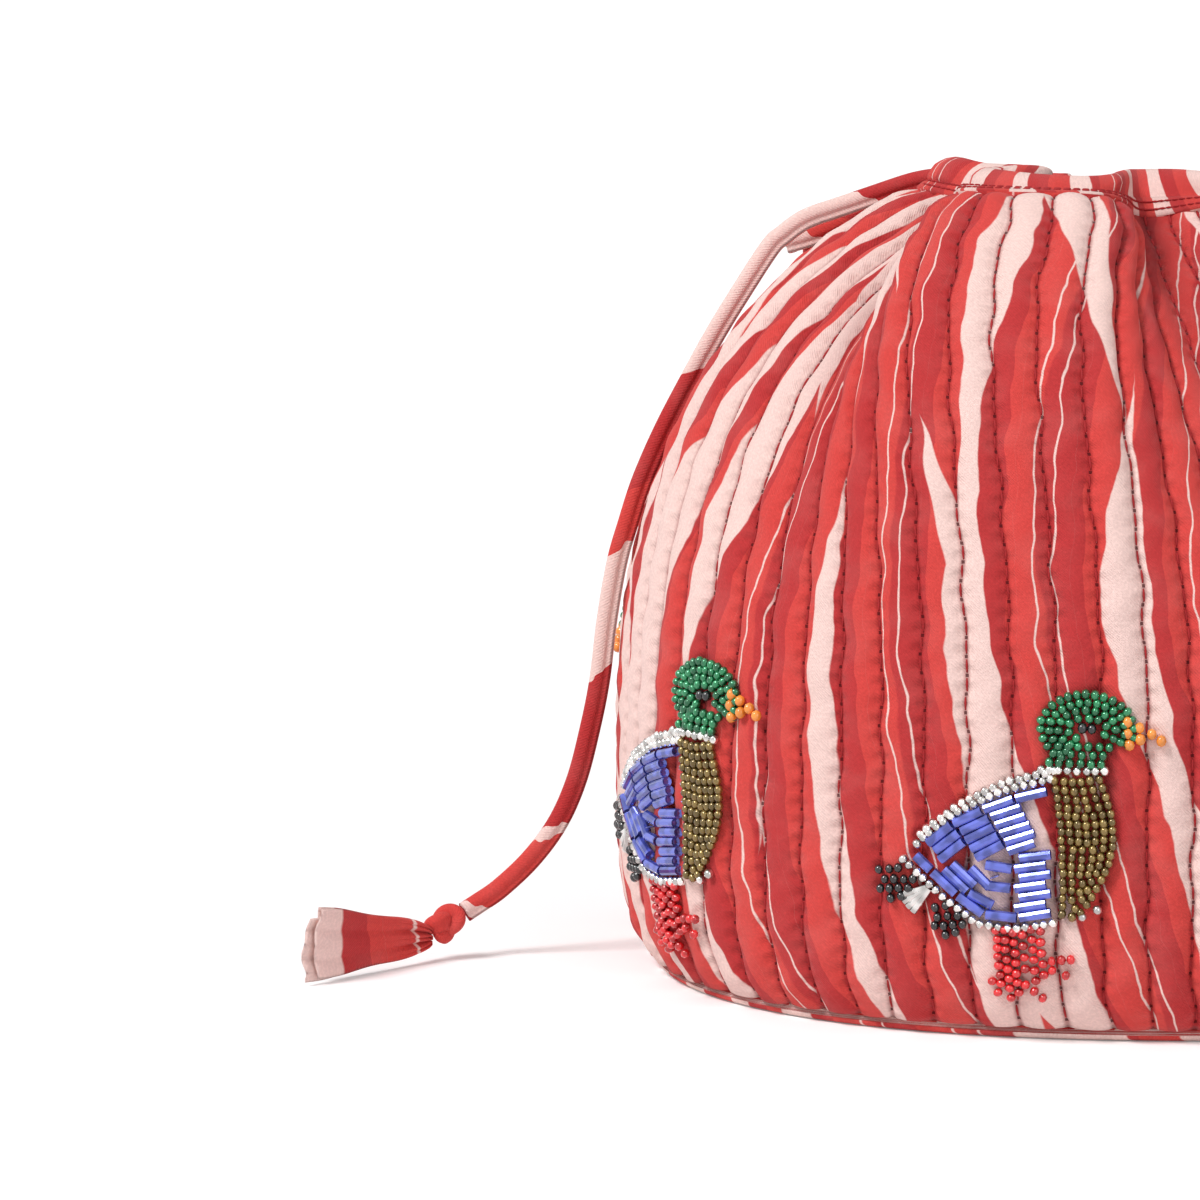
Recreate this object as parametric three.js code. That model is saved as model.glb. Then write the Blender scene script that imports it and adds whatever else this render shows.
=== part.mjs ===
// A quilted cloth pouch, cinched at the neck by a cloth drawstring, standing on its oval base.
// Sizes are millimetres, +Z is up, the front looks along -Y, and the origin is under the base's centre.

import * as THREE from 'three';

// Body, measured on the stitch lines of the outer cloth
const bellyHalfWidth = 125.4;
const bellyHalfDepth = 93.3;
const bellyHeight = 45;
const neckHalfWidth = 50;
const neckHalfDepth = 38.3;
const seamHeight = 170.5;
const shoulderReach = 3.5;
const shoulderTop = seamHeight + shoulderReach;
const casingRise = 6;
const casingLeanIn = 8.6;
const frontLean = 6.25;
const rimBowl = 5;
const cornerInset = 7.3;
const cornerCurve = 3.6;
const shoulderCurve = 2.7;
const shoulderFullness = 0.7;
const bellySquareness = 2.3;
const neckSquareness = 3.2;

// Quilting: upright padded channels between rows of stitching
const channels = 75;
const channelPuff = 1.8;
const wallThickness = 2.8;
const thinnest = 0.9;
const bendShare = 0.4;

// Folds that the drawstring draws in, each along one stitch line counted from the left side
const foldDepth = 27;
const foldOnset = 0.75;
const foldDip = 9;
const rimDip = 1;
const neckTwist = 0.08;
const twistCentre = 0.19;
const creaseShare = 0.08;
const steepShare = 0.7;
const slitFlank = 38;
const bendReach = 13;
const folds = [
  { stitch: 8, depth: 0.8, before: 54, after: 38 },
  { stitch: 20, depth: 1, before: 39, after: 54 },
  { stitch: 33, depth: 0.95, before: 46, after: 44 },
  { stitch: 45, depth: 1, before: 42, after: 48 },
  { stitch: 56.5, depth: 0.88, before: 42, after: 48 },
  { stitch: 68, depth: 1, before: 46, after: 42 },
  { stitch: 74.5, depth: 0.18, before: 22, after: 24, drop: 5 },
];

// Base panel and the clearance between touching pieces
const baseThickness = 3;
const baseEdge = 2.6;
const baseTuck = 0.6;
const clearance = 0.3;

// Casing: the unquilted channel round the rim that the drawstring runs in
const casingWidth = 10.5;
const casingThickness = 4.2;
const ridgeHeight = 2.4;
const ridgeProud = 1.5;
const casingPuff = 1.6;
const casingSeam = 1.8;
const seamThickness = 1.8;
const casingFirstStitch = 2.5;
const casingLastStitch = 74;
const mouthDepth = 4.5;
const mouthRadius = 2.6;
const mouthLip = 0.9;
const mouthSwell = 1.6;

// Drawstring: a folded cloth strip, its tails knotted ahead of a flared cloth tassel
const stripWidth = 4.2;
const stripSides = 8;
const tubeSteps = 44;
const knotLength = 10;
const knotRadius = 4.4;
const tasselGap = 0.9;
const tasselLength = 36;
const tasselNeck = 3.9;
const tasselFlare = 8.5;
const tasselThickness = 2.6;

// Bead motifs: low pads of sewn beads, set evenly round the belly
const motifs = 8;
const firstMotif = 0.064;
const motifFoot = 10;
const padHeight = 1.8;
const padGap = 0.35;

const samplesPerChannel = 12;
const samples = channels * samplesPerChannel;
const wallBottom = baseThickness + clearance;
const wallTop = seamHeight + casingRise;

// The mean profile of the wall, from the base seam to the rim, walked by its arc length
function profilePoint(z) {
  const below = Math.max(0, bellyHeight - z) / bellyHeight;
  const above = Math.max(0, Math.min(z, seamHeight) - bellyHeight) / (shoulderTop - bellyHeight);
  const inCasing = Math.max(0, z - seamHeight) / casingRise;
  const inset = cornerInset * Math.pow(below, cornerCurve) + casingLeanIn * inCasing;
  const shoulder = Math.pow(1 - Math.pow(above, shoulderCurve), shoulderFullness);
  return {
    z,
    shoulder,
    halfWidth: neckHalfWidth + (bellyHalfWidth - neckHalfWidth) * shoulder - inset,
    halfDepth: neckHalfDepth + (bellyHalfDepth - neckHalfDepth) * shoulder - inset,
  };
}

const profile = [];
const profileSteps = 400;
for (let i = 0; i <= profileSteps; i++) {
  const point = profilePoint(wallBottom + (wallTop - wallBottom) * (i / profileSteps));
  const last = profile[i - 1];
  point.arc = last ? last.arc + Math.hypot(point.z - last.z, point.halfWidth - last.halfWidth) : 0;
  profile.push(point);
}
const wallArc = profile[profileSteps].arc;

const rimShare = 1 - casingWidth / wallArc;
const seamShare = rimShare - casingSeam / wallArc;

function levelAt(share) {
  const arc = THREE.MathUtils.clamp(share, 0, 1) * wallArc;
  let i = 1;
  while (i < profileSteps && profile[i].arc < arc) i++;
  const a = profile[i - 1];
  const b = profile[i];
  const t = (arc - a.arc) / (b.arc - a.arc);
  return profilePoint(a.z + (b.z - a.z) * t);
}

function shareAtHeight(z) {
  let i = 1;
  while (i < profileSteps && profile[i].z < z) i++;
  const a = profile[i - 1];
  const b = profile[i];
  return (a.arc + ((b.arc - a.arc) * (z - a.z)) / (b.z - a.z)) / wallArc;
}

// A rounded oval outline, walked from the left side round the front, by its arc length
function signedPower(value, power) {
  return Math.sign(value) * Math.pow(Math.abs(value), power);
}

function ovalOutline(level) {
  const squareness = neckSquareness + (bellySquareness - neckSquareness) * level.shoulder;
  const steps = 720;
  const points = [];
  for (let i = 0; i <= steps; i++) {
    const angle = Math.PI + (2 * Math.PI * i) / steps;
    const x = level.halfWidth * signedPower(Math.cos(angle), 2 / squareness);
    const y = level.halfDepth * signedPower(Math.sin(angle), 2 / squareness);
    const last = points[i - 1];
    points.push({ x, y, arc: last ? last.arc + Math.hypot(x - last.x, y - last.y) : 0 });
  }
  return { points, length: points[steps].arc };
}

function outlinePoint(outline, distance) {
  const wrapped = ((distance % outline.length) + outline.length) % outline.length;
  let low = 0;
  let high = outline.points.length - 1;
  while (high - low > 1) {
    const middle = (low + high) >> 1;
    if (outline.points[middle].arc <= wrapped) low = middle;
    else high = middle;
  }
  const a = outline.points[low];
  const b = outline.points[high];
  const t = (wrapped - a.arc) / (b.arc - a.arc);
  return new THREE.Vector2(a.x + (b.x - a.x) * t, a.y + (b.y - a.y) * t);
}

function outwardAt(outline, distance) {
  const reach = outline.length / 90;
  const ahead = outlinePoint(outline, distance + reach).sub(outlinePoint(outline, distance - reach));
  return new THREE.Vector2(ahead.y, -ahead.x).normalize();
}

const clothWidth = ovalOutline(profilePoint(bellyHeight)).length;
const channelWidth = clothWidth / channels;
const drawnInAtRim = 1 - ovalOutline(profilePoint(wallTop)).length / clothWidth;

// How far the drawstring has drawn the cloth in at a height, from 0 on the belly to 1 at the rim
function gatherAt(level, outline) {
  if (level.z <= bellyHeight) return 0;
  return Math.pow(Math.max(0, 1 - outline.length / clothWidth) / drawnInAtRim, foldOnset);
}

// How far and how steeply the cloth is drawn in at one place, for a fold of unit depth
function smooth(value) {
  const t = THREE.MathUtils.clamp(value, 0, 1);
  return t * t * (3 - 2 * t);
}

const flankSteps = 200;
const flankDrop = [0];
function flankSlope(x) {
  if (x < creaseShare) return smooth(x / creaseShare);
  return 1 - smooth((x - steepShare) / (1 - steepShare));
}
for (let i = 1; i <= flankSteps; i++) {
  flankDrop.push(flankDrop[i - 1] + flankSlope((i - 0.5) / flankSteps) / flankSteps);
}
const flankArea = flankDrop[flankSteps];

function foldAt(u) {
  let inward = 0;
  let slope = 0;
  let drop = 0;
  let crowd = 0;
  let nearest = clothWidth;
  for (const fold of folds) {
    const across = u - fold.stitch * channelWidth;
    const turn = across - clothWidth * Math.round(across / clothWidth);
    const flank = turn < 0 ? fold.before : fold.after;
    const x = Math.abs(turn) / flank;
    if (x >= 1) continue;
    const held = 1 - flankDrop[Math.round(x * flankSteps)] / flankArea;
    inward += fold.depth * held;
    slope += (fold.depth * flankSlope(x)) / (flankArea * flank);
    drop += (fold.drop ?? 0) * held;
    if (fold.drop) continue;
    nearest = Math.min(nearest, Math.abs(turn));
    const slit = Math.min(1, Math.pow(slitFlank / flank, 2));
    crowd = Math.max(crowd, slit * (1 - smooth((x - steepShare) / (1 - steepShare))));
  }
  return { inward, slope, drop, crowd, nearest };
}
const foldSamples = [];
for (let i = 0; i < samples; i++) foldSamples.push(foldAt((i / samples) * clothWidth));

// One closed ring of the outer cloth. The cloth keeps its width as it is drawn in, so its folds
// take up what the smaller outline leaves over, and the creases crowd the rest.
const ringCache = new Map();
function clothRing(share) {
  const key = share.toFixed(6);
  if (ringCache.has(key)) return ringCache.get(key);
  const level = levelAt(share);
  const outline = ovalOutline(level);
  const rise = gatherAt(level, outline);
  const atRim = smooth((share - rimShare + 0.02) / (1 - rimShare));
  const dip = rise * (foldDip + (rimDip - foldDip) * atRim);
  const depth = foldDepth * rise;
  const curvature = (2 * Math.PI) / outline.length;
  const advance = [];
  let free = 0;
  let crowded = 0;
  for (const fold of foldSamples) {
    const slope = Math.min(depth * fold.slope, 0.965);
    const step = Math.sqrt(1 - slope * slope) / (1 - Math.min(0.6, depth * fold.inward * curvature));
    advance.push(step);
    free += step;
    crowded += step * fold.crowd;
  }
  const spare = free - (outline.length * samples) / clothWidth;
  const squeeze = THREE.MathUtils.clamp(spare / Math.max(crowded, 1e-6), -0.4, 0.86);
  let total = 0;
  const along = foldSamples.map((fold, i) => {
    const place = total;
    total += advance[i] * (1 - squeeze * fold.crowd);
    return place;
  });
  const points = foldSamples.map((fold, i) => {
    const turn = along[i] / total;
    const toFront = 0.5 + 0.5 * Math.cos(2 * Math.PI * (turn - twistCentre));
    const twist = neckTwist * Math.pow(rise, 1 / foldOnset) * toFront;
    const distance = outline.length * (turn - twist);
    const place = outlinePoint(outline, distance);
    place.addScaledVector(outwardAt(outline, distance), -depth * fold.inward);
    const forward = -place.y / level.halfDepth;
    const lift = rise * (frontLean * forward - rimBowl * forward * forward * atRim);
    const fall = dip * fold.inward + rise * fold.drop;
    return new THREE.Vector3(place.x, place.y, level.z + lift - fall);
  });
  const eased = ease(ease(points, Math.round(bendReach * rise)), Math.round(bendReach * rise));
  ringCache.set(key, eased);
  return eased;
}

// Padded cloth doesn't bend sharply, so each place settles between its neighbours
function ease(points, reach) {
  return points.map((point, i) => {
    const sum = new THREE.Vector3();
    for (let j = i - reach; j <= i + reach; j++) sum.add(points[(j + samples) % samples]);
    return sum.divideScalar(2 * reach + 1);
  });
}

// A point of the outer cloth at a stitch count and height share, moved outward along its normal
function clothPoint(stitch, share, outward) {
  const index = Math.round(stitch * samplesPerChannel);
  const at = (ring, i) => ring[((i % samples) + samples) % samples];
  const reach = 4;
  const lower = clothRing(Math.max(0, share - 0.012));
  const upper = clothRing(Math.min(1, share + 0.012));
  const ring = clothRing(share);
  const along = at(ring, index + reach).clone().sub(at(ring, index - reach));
  const up = at(upper, index).clone().sub(at(lower, index));
  const normal = along.cross(up).normalize();
  return at(ring, index).clone().addScaledVector(normal, outward);
}

// How much room the cloth has to puff out, from 1 on a lobe to little inside a crease
function openness(stitch, share) {
  const index = ((Math.round(stitch * samplesPerChannel) % samples) + samples) % samples;
  const level = levelAt(share);
  const rise = gatherAt(level, ovalOutline(level));
  const near = 1 - smooth(foldSamples[index].nearest / (2.2 * channelWidth));
  return 1 - 0.8 * near * rise;
}

// A thickness held inward of the cloth, thinned where the cloth bends too tightly to hold it
function heldInside(stitch, share, thickness) {
  const ring = clothRing(share);
  const index = Math.round(stitch * samplesPerChannel);
  const at = (i) => ring[((i % samples) + samples) % samples];
  const reach = 5;
  let tightest = 1e3;
  for (let i = index - reach; i <= index + reach; i++) {
    const [a, b, c] = [at(i - reach), at(i), at(i + reach)];
    const turned = Math.atan2(
      (b.x - a.x) * (c.y - b.y) - (b.y - a.y) * (c.x - b.x),
      (b.x - a.x) * (c.x - b.x) + (b.y - a.y) * (c.y - b.y)
    );
    const walked = (Math.hypot(b.x - a.x, b.y - a.y) + Math.hypot(c.x - b.x, c.y - b.y)) / 2;
    if (turned > 0.01) tightest = Math.min(tightest, walked / turned);
  }
  return -Math.max(thinnest, Math.min(thickness, bendShare * tightest));
}

// Closed meshes from rings of points
class Shell {
  constructor() {
    this.positions = [];
    this.faces = [];
  }
  ring(points) {
    const start = this.positions.length / 3;
    for (const p of points) this.positions.push(p.x, p.y, p.z);
    return { start, count: points.length };
  }
  bridge(a, b) {
    for (let i = 0; i < a.count; i++) {
      const j = (i + 1) % a.count;
      this.faces.push(a.start + i, a.start + j, b.start + j, a.start + i, b.start + j, b.start + i);
    }
  }
  cap(a, centre) {
    const middle = this.ring([centre]).start;
    for (let i = 0; i < a.count; i++) {
      this.faces.push(a.start + i, a.start + ((i + 1) % a.count), middle);
    }
  }
  geometry() {
    const geometry = new THREE.BufferGeometry();
    geometry.setAttribute('position', new THREE.Float32BufferAttribute(this.positions, 3));
    const faces = this.volume() < 0 ? this.faces.slice().reverse() : this.faces;
    geometry.setIndex(faces);
    geometry.computeVertexNormals();
    return geometry;
  }
  volume() {
    const p = (i) => new THREE.Vector3().fromArray(this.positions, 3 * i);
    let sum = 0;
    for (let i = 0; i < this.faces.length; i += 3) {
      const [a, b, c] = [p(this.faces[i]), p(this.faces[i + 1]), p(this.faces[i + 2])];
      sum += a.dot(b.cross(c)) / 6;
    }
    return sum;
  }
}

function cloth(color, roughness = 0.9) {
  return new THREE.MeshStandardMaterial({ color, roughness, metalness: 0 });
}

function named(name, geometry, material) {
  const mesh = new THREE.Mesh(geometry, material);
  mesh.name = name;
  return mesh;
}

// The quilted side wall: padded channels outside, smooth lining side within
function sideWall() {
  const heights = [0, 0.04, 0.1, 0.24, 0.38, 0.48, 0.55, 0.61, 0.67, 0.73, 0.79, 0.85, 0.9];
  const levels = heights.map((share) => share / 0.9).map((share) => share * seamShare);
  const shell = new Shell();
  const outer = levels.map((share, k) => {
    const puff = k === 0 || k === levels.length - 1 ? 0.5 : 1;
    const points = [];
    for (let half = 0; half < 2 * channels; half++) {
      const crest = half % 2 ? channelPuff * puff * openness(half / 2, share) : 0;
      points.push(clothPoint(half / 2, share, crest));
    }
    return shell.ring(points);
  });
  const inner = levels.filter((share, k) => k % 2 === 0).map((share) => {
    const points = [];
    const full = share < seamShare ? wallThickness : seamThickness;
    for (let half = 0; half < 2 * channels; half++) {
      points.push(clothPoint(half / 2, share, heldInside(half / 2, share, full)));
    }
    return shell.ring(points);
  });
  for (let k = 1; k < outer.length; k++) shell.bridge(outer[k - 1], outer[k]);
  shell.bridge(outer[outer.length - 1], inner[inner.length - 1]);
  for (let k = inner.length - 1; k > 0; k--) shell.bridge(inner[k], inner[k - 1]);
  shell.bridge(inner[0], outer[0]);
  return named('side_wall', shell.geometry(), cloth('#cc4b4d'));
}

// The base panel: a flat padded oval that the wall's lower edge is sewn round
function basePanel() {
  const bottom = clothRing(0).filter((point, i) => i % samplesPerChannel === 0);
  const outlineAt = (inset, z) => bottom.map((point) => {
    const flat = new THREE.Vector2(point.x, point.y);
    const moved = flat.clone().addScaledVector(flat.clone().normalize(), -baseTuck - inset);
    return new THREE.Vector3(moved.x, moved.y, z);
  });
  const shell = new Shell();
  const rings = [
    outlineAt(baseEdge, 0),
    outlineAt(0, baseEdge * 0.6),
    outlineAt(0, baseThickness - 0.4),
    outlineAt(0.2, baseThickness),
  ].map((points) => shell.ring(points));
  for (let k = 1; k < rings.length; k++) shell.bridge(rings[k - 1], rings[k]);
  shell.cap(rings[rings.length - 1], new THREE.Vector3(0, 0, baseThickness));
  shell.bottom = shell.ring([new THREE.Vector3(0, 0, 0)]).start;
  for (let i = 0; i < rings[0].count; i++) {
    shell.faces.push(rings[0].start + ((i + 1) % rings[0].count), rings[0].start + i, shell.bottom);
  }
  return named('base_panel', shell.geometry(), cloth('#b83f45'));
}

// The casing: a padded strip along the rim with a stitched ridge, open at both ends for the cord
function casingShare(up) {
  return rimShare + (1 - rimShare) * (up / casingWidth);
}

function casingSection(stitch, swell) {
  const room = openness(stitch, 1);
  const half = casingWidth / 2;
  const outline = [
    [0, ridgeProud * room],
    [ridgeHeight, ridgeProud * room],
    [ridgeHeight + 0.9, 0.5 * room + swell],
    [half + 1.2, casingPuff * room + swell],
    [casingWidth - 0.6, 0.6 * room + swell],
    [casingWidth, heldInside(stitch, 1, casingThickness / 2)],
    [half, heldInside(stitch, casingShare(half), casingThickness + swell)],
    [0, heldInside(stitch, rimShare, seamThickness)],
  ];
  return outline.map(([up, out]) => clothPoint(stitch, casingShare(up), out));
}

// The hollow that the cord leaves by, inside the casing's swollen end
const mouthUp = casingWidth / 2 + 0.4;
const mouthOut = casingPuff + mouthSwell - mouthLip - mouthRadius;

function mouthCentre(stitch) {
  return clothPoint(stitch, casingShare(mouthUp), mouthOut);
}

function mouthSection(stitch) {
  const points = [];
  for (let i = 0; i < 8; i++) {
    const angle = Math.PI * (1 - i / 4);
    const up = mouthUp + mouthRadius * Math.cos(angle);
    points.push(clothPoint(stitch, casingShare(up), mouthOut + mouthRadius * Math.sin(angle)));
  }
  return points;
}

function casing() {
  const shell = new Shell();
  const pocket = Math.ceil((mouthDepth / channelWidth) * 2) / 2;
  const rings = [];
  const mouth = (stitch) => rings.push(shell.ring(mouthSection(stitch)));
  for (let back = pocket; back >= 0; back -= 0.5) mouth(casingFirstStitch + back);
  for (let stitch = casingFirstStitch; stitch <= casingLastStitch; stitch += 0.5) {
    const fromEnd = Math.min(stitch - casingFirstStitch, casingLastStitch - stitch);
    const swell = mouthSwell * (1 - smooth((fromEnd - pocket) / 2));
    rings.push(shell.ring(casingSection(stitch, swell)));
  }
  for (let back = 0; back <= pocket; back += 0.5) mouth(casingLastStitch - back);
  for (let k = 1; k < rings.length; k++) shell.bridge(rings[k - 1], rings[k]);
  shell.cap(rings[rings.length - 1], mouthCentre(casingLastStitch - pocket));
  const first = rings[0];
  const centre = shell.ring([mouthCentre(casingFirstStitch + pocket)]).start;
  for (let i = 0; i < first.count; i++) {
    shell.faces.push(first.start + ((i + 1) % first.count), first.start + i, centre);
  }
  return named('casing', shell.geometry(), cloth('#c9484b'));
}

// Bead motifs: each field is a low pad between two edges, laid on the wall's curve
function motifPoint(motif, x, y, outward) {
  const share = shareAtHeight(motifFoot + y);
  const stitch = channels * (firstMotif + motif / motifs) + x / channelWidth;
  return clothPoint(stitch, share, outward);
}

function beadPad(name, motif, rows, columns, edges, color) {
  const shell = new Shell();
  const layer = (outward) => {
    const grid = [];
    for (let r = 0; r <= rows; r++) {
      const [left, right] = edges(r / rows);
      for (let c = 0; c <= columns; c++) {
        const t = c / columns;
        grid.push(motifPoint(
          motif,
          left[0] + (right[0] - left[0]) * t,
          left[1] + (right[1] - left[1]) * t,
          outward
        ));
      }
    }
    return shell.ring(grid).start;
  };
  const under = layer(channelPuff + padGap);
  const over = layer(channelPuff + padGap + padHeight);
  const wide = columns + 1;
  for (let r = 0; r < rows; r++) {
    for (let c = 0; c < columns; c++) {
      const [a, b] = [r * wide + c, r * wide + c + 1];
      const [d, e] = [a + wide, b + wide];
      shell.faces.push(over + a, over + b, over + e, over + a, over + e, over + d);
      shell.faces.push(under + b, under + a, under + e, under + e, under + a, under + d);
    }
  }
  const rim = [];
  for (let c = 0; c < columns; c++) rim.push(c);
  for (let r = 0; r < rows; r++) rim.push(r * wide + columns);
  for (let c = columns; c > 0; c--) rim.push(rows * wide + c);
  for (let r = rows; r > 0; r--) rim.push(r * wide);
  rim.forEach((a, i) => {
    const b = rim[(i + 1) % rim.length];
    shell.faces.push(under + a, under + b, over + b, under + a, over + b, over + a);
  });
  return named(name, shell.geometry(), new THREE.MeshStandardMaterial({
    color, roughness: 0.25, metalness: 0,
  }));
}

function mix(a, b, t) {
  return a + (b - a) * t;
}

function duck(motif) {
  const name = (part) => `duck_${motif + 1}_${part}`;
  const swell = (t) => Math.sin(Math.PI * t);
  const head = (t) => {
    const angle = mix(-75, 75, t) * THREE.MathUtils.DEG2RAD;
    const y = 58.4 + 7.4 * Math.sin(angle);
    return [[14 - 10 * Math.cos(angle), y], [14 + 10 * Math.cos(angle), y]];
  };
  const bill = (t) => [[mix(24.6, 29.6, t), mix(53.2, 53.6, t)], [mix(24.6, 29.6, t), mix(61, 56.8, t)]];
  const breast = (t) => {
    const y = mix(48.8, 20, t);
    return [[mix(6.8, 8.6, t) + 1.2 * swell(t), y], [mix(17.5, 14, t) + 4.4 * swell(t), y]];
  };
  const wing = (t) => {
    const x = mix(6, -23.5, t);
    return [[x, mix(17.6, 29, t * t)], [x, mix(49, 33, t * t)]];
  };
  const tail = (t) => [[mix(-31, -16, t), mix(21.5, 12, t)], [mix(-26.6, -12.4, t), mix(28.6, 18.4, t)]];
  const legs = (t) => {
    const y = mix(0.6, 16, t);
    return [[mix(-5.5, -3.5, t), y], [mix(10.2, 6.5, Math.sqrt(t)), y]];
  };
  return [
    beadPad(name('head'), motif, 5, 3, head, '#1f7a4d'),
    beadPad(name('bill'), motif, 1, 1, bill, '#f0913a'),
    beadPad(name('breast'), motif, 4, 2, breast, '#7d6430'),
    beadPad(name('wing'), motif, 4, 4, wing, '#4a55a8'),
    beadPad(name('tail'), motif, 3, 1, tail, '#15161a'),
    beadPad(name('legs'), motif, 2, 2, legs, '#cf1a1f'),
  ];
}

// The drawstring's two tails, as they hang and lie
const frontTail = [
  [-55.9, 1, 173.1], [-56.4, 3, 172.7], [-57.4, 6, 172.3], [-59.6, 8.9, 171.7],
  [-62.7, 10.7, 170.8], [-66.2, 11.4, 169.6], [-72, 11.4, 167.6], [-79.4, 11, 165.1],
  [-83.8, 10.5, 163.7], [-87.1, 10, 162.2], [-90.9, 9.5, 159.4], [-93.7, 8.5, 156.9],
  [-99.9, 6, 147.7], [-105.7, 3, 138.6], [-111.4, 0, 128.6], [-117.1, -3, 118],
  [-121.9, -5, 107.2], [-124.9, -6, 98], [-127.4, -6, 89.1], [-129.6, -6, 76.2],
  [-131.2, -6, 62.8], [-133.4, -5.5, 51.5], [-136.3, -5, 40.2], [-140.4, -4.5, 30.6],
  [-146.2, -4, 22.4], [-153.2, -4, 15.6], [-158.3, -4.5, 12.1], [-161, -6, 10.6],
];
const backTail = [
  [-50.6, 23.4, 166], [-51.1, 21.2, 166], [-52.5, 18.2, 166.4], [-55.4, 16.2, 167.1],
  [-59, 15.6, 167.6], [-63.5, 16.2, 167.4], [-68, 17, 165.6], [-73.3, 17.6, 163.1],
  [-78.5, 17.4, 160.4], [-83.5, 17.8, 158.4], [-87.3, 19.8, 157], [-89.3, 23.3, 156],
  [-88.8, 27.5, 155.4], [-86.8, 31.6, 155.6], [-85.2, 36, 155], [-84.4, 40.3, 151.7],
  [-85.2, 43.4, 146.4], [-88.6, 46.6, 138.9], [-92.8, 49.2, 131.1], [-95.3, 53.1, 122.4],
  [-95.8, 58.3, 113.4], [-95.6, 64.5, 104], [-92.9, 70.8, 94.1], [-90.4, 74.8, 84],
  [-89.3, 77.1, 73.8], [-88.9, 79.3, 63.6], [-89.8, 80.6, 55.5],
];

function curveThrough(points) {
  return new THREE.CatmullRomCurve3(points.map((p) => new THREE.Vector3(...p)), false, 'centripetal');
}

function tube(name, points, steps) {
  const section = new THREE.Shape();
  for (let i = 0; i < stripSides; i++) {
    const angle = (2 * Math.PI * (i + 0.5)) / stripSides;
    const x = (stripWidth / 2) * Math.cos(angle);
    const y = (stripWidth / 2) * Math.sin(angle);
    if (i === 0) section.moveTo(x, y);
    else section.lineTo(x, y);
  }
  section.closePath();
  const path = curveThrough(points);
  const geometry = new THREE.ExtrudeGeometry(section, { steps, extrudePath: path, bevelEnabled: false });
  return named(name, geometry, cloth('#b5393f'));
}

// Turns a piece made along +X to a heading, its thin side to a facing, and sets its start
function lay(mesh, start, heading, facing) {
  const along = new THREE.Vector3(...heading).normalize();
  const up = along.clone().cross(new THREE.Vector3(...facing)).normalize();
  const thin = up.clone().cross(along);
  mesh.quaternion.setFromRotationMatrix(new THREE.Matrix4().makeBasis(along, thin, up));
  mesh.position.copy(start);
  return mesh;
}

function knot(name) {
  const outline = [];
  const steps = 10;
  for (let i = 0; i <= steps; i++) {
    const t = i / steps;
    const lump = 0.86 + 0.14 * Math.abs(Math.sin(2 * Math.PI * t));
    const radius = i === 0 || i === steps ? 0 : knotRadius * lump * Math.pow(Math.sin(Math.PI * t), 0.45);
    outline.push(new THREE.Vector2(radius, knotLength * t));
  }
  const geometry = new THREE.LatheGeometry(outline, 12);
  geometry.rotateZ(-Math.PI / 2);
  return named(name, geometry, cloth('#b5393f'));
}

function tassel(name) {
  const shell = new Shell();
  const steps = 6;
  const sides = 12;
  const rings = [];
  for (let k = 0; k <= steps; k++) {
    const t = k / steps;
    const gather = k === 0 ? 0.4 : 1;
    const halfHeight = gather * mix(tasselNeck, tasselFlare, Math.pow(t, 0.6));
    const halfThickness = gather * mix(tasselNeck * 0.8, tasselThickness, t);
    const ring = [];
    for (let i = 0; i < sides; i++) {
      const angle = (2 * Math.PI * i) / sides;
      ring.push(new THREE.Vector3(
        tasselLength * t,
        halfThickness * Math.cos(angle),
        halfHeight * Math.sin(angle)
      ));
    }
    rings.push(shell.ring(ring));
  }
  for (let k = 1; k < rings.length; k++) shell.bridge(rings[k - 1], rings[k]);
  shell.cap(rings[steps], new THREE.Vector3(tasselLength, 0, 0));
  const start = shell.ring([new THREE.Vector3(0, 0, 0)]).start;
  for (let i = 0; i < sides; i++) shell.faces.push(rings[0].start + ((i + 1) % sides), rings[0].start + i, start);
  return named(name, shell.geometry(), cloth('#c9484b'));
}

// One tail of the drawstring, ended by its knot and, beyond that, its tassel
function tail(side, points, knotHeading, tasselHeading, facing) {
  const along = new THREE.Vector3(...knotHeading).normalize();
  const knotStart = new THREE.Vector3(...points[points.length - 1]).addScaledVector(along, clearance);
  const tasselStart = knotStart.clone().addScaledVector(along, knotLength + tasselGap);
  return [
    tube(`drawstring_${side}_tail`, points, tubeSteps),
    lay(knot(`knot_${side}`), knotStart, knotHeading, facing),
    lay(tassel(`tassel_${side}`), tasselStart, tasselHeading, facing),
  ];
}

const pouch = new THREE.Group();
pouch.add(sideWall(), basePanel(), casing());
for (let motif = 0; motif < motifs; motif++) pouch.add(...duck(motif));
pouch.add(
  ...tail('front', frontTail, [-0.83, -0.32, -0.46], [-0.73, -0.67, 0.09], [0.67, -0.74, 0]),
  ...tail('back', backTail, [-0.05, 0.08, -1], [0, 0, -1], [-0.53, 0.85, 0])
);

export default pouch;
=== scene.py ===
"""Dresses the quilted drawstring pouch: its quilted cloth, stitching, beads and cloth drawstring."""

import itertools
import math

import bmesh
import bpy
import numpy as np
from mathutils import Matrix, Vector


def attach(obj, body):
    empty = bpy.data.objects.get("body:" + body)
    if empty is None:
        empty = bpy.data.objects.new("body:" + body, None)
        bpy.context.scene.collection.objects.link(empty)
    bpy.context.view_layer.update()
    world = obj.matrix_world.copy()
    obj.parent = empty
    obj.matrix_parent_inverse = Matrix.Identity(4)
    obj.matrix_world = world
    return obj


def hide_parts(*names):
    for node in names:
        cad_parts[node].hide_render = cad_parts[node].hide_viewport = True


bl_info = {
    "name": "Quilted drawstring pouch",
    "version": (1, 0, 0),
    "blender": (4, 5, 0),
    "location": "3D View > Sidebar > Pouch",
    "description": "Builds the cloth, beads and cord of a gathered quilted pouch",
    "category": "Object",
}

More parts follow.
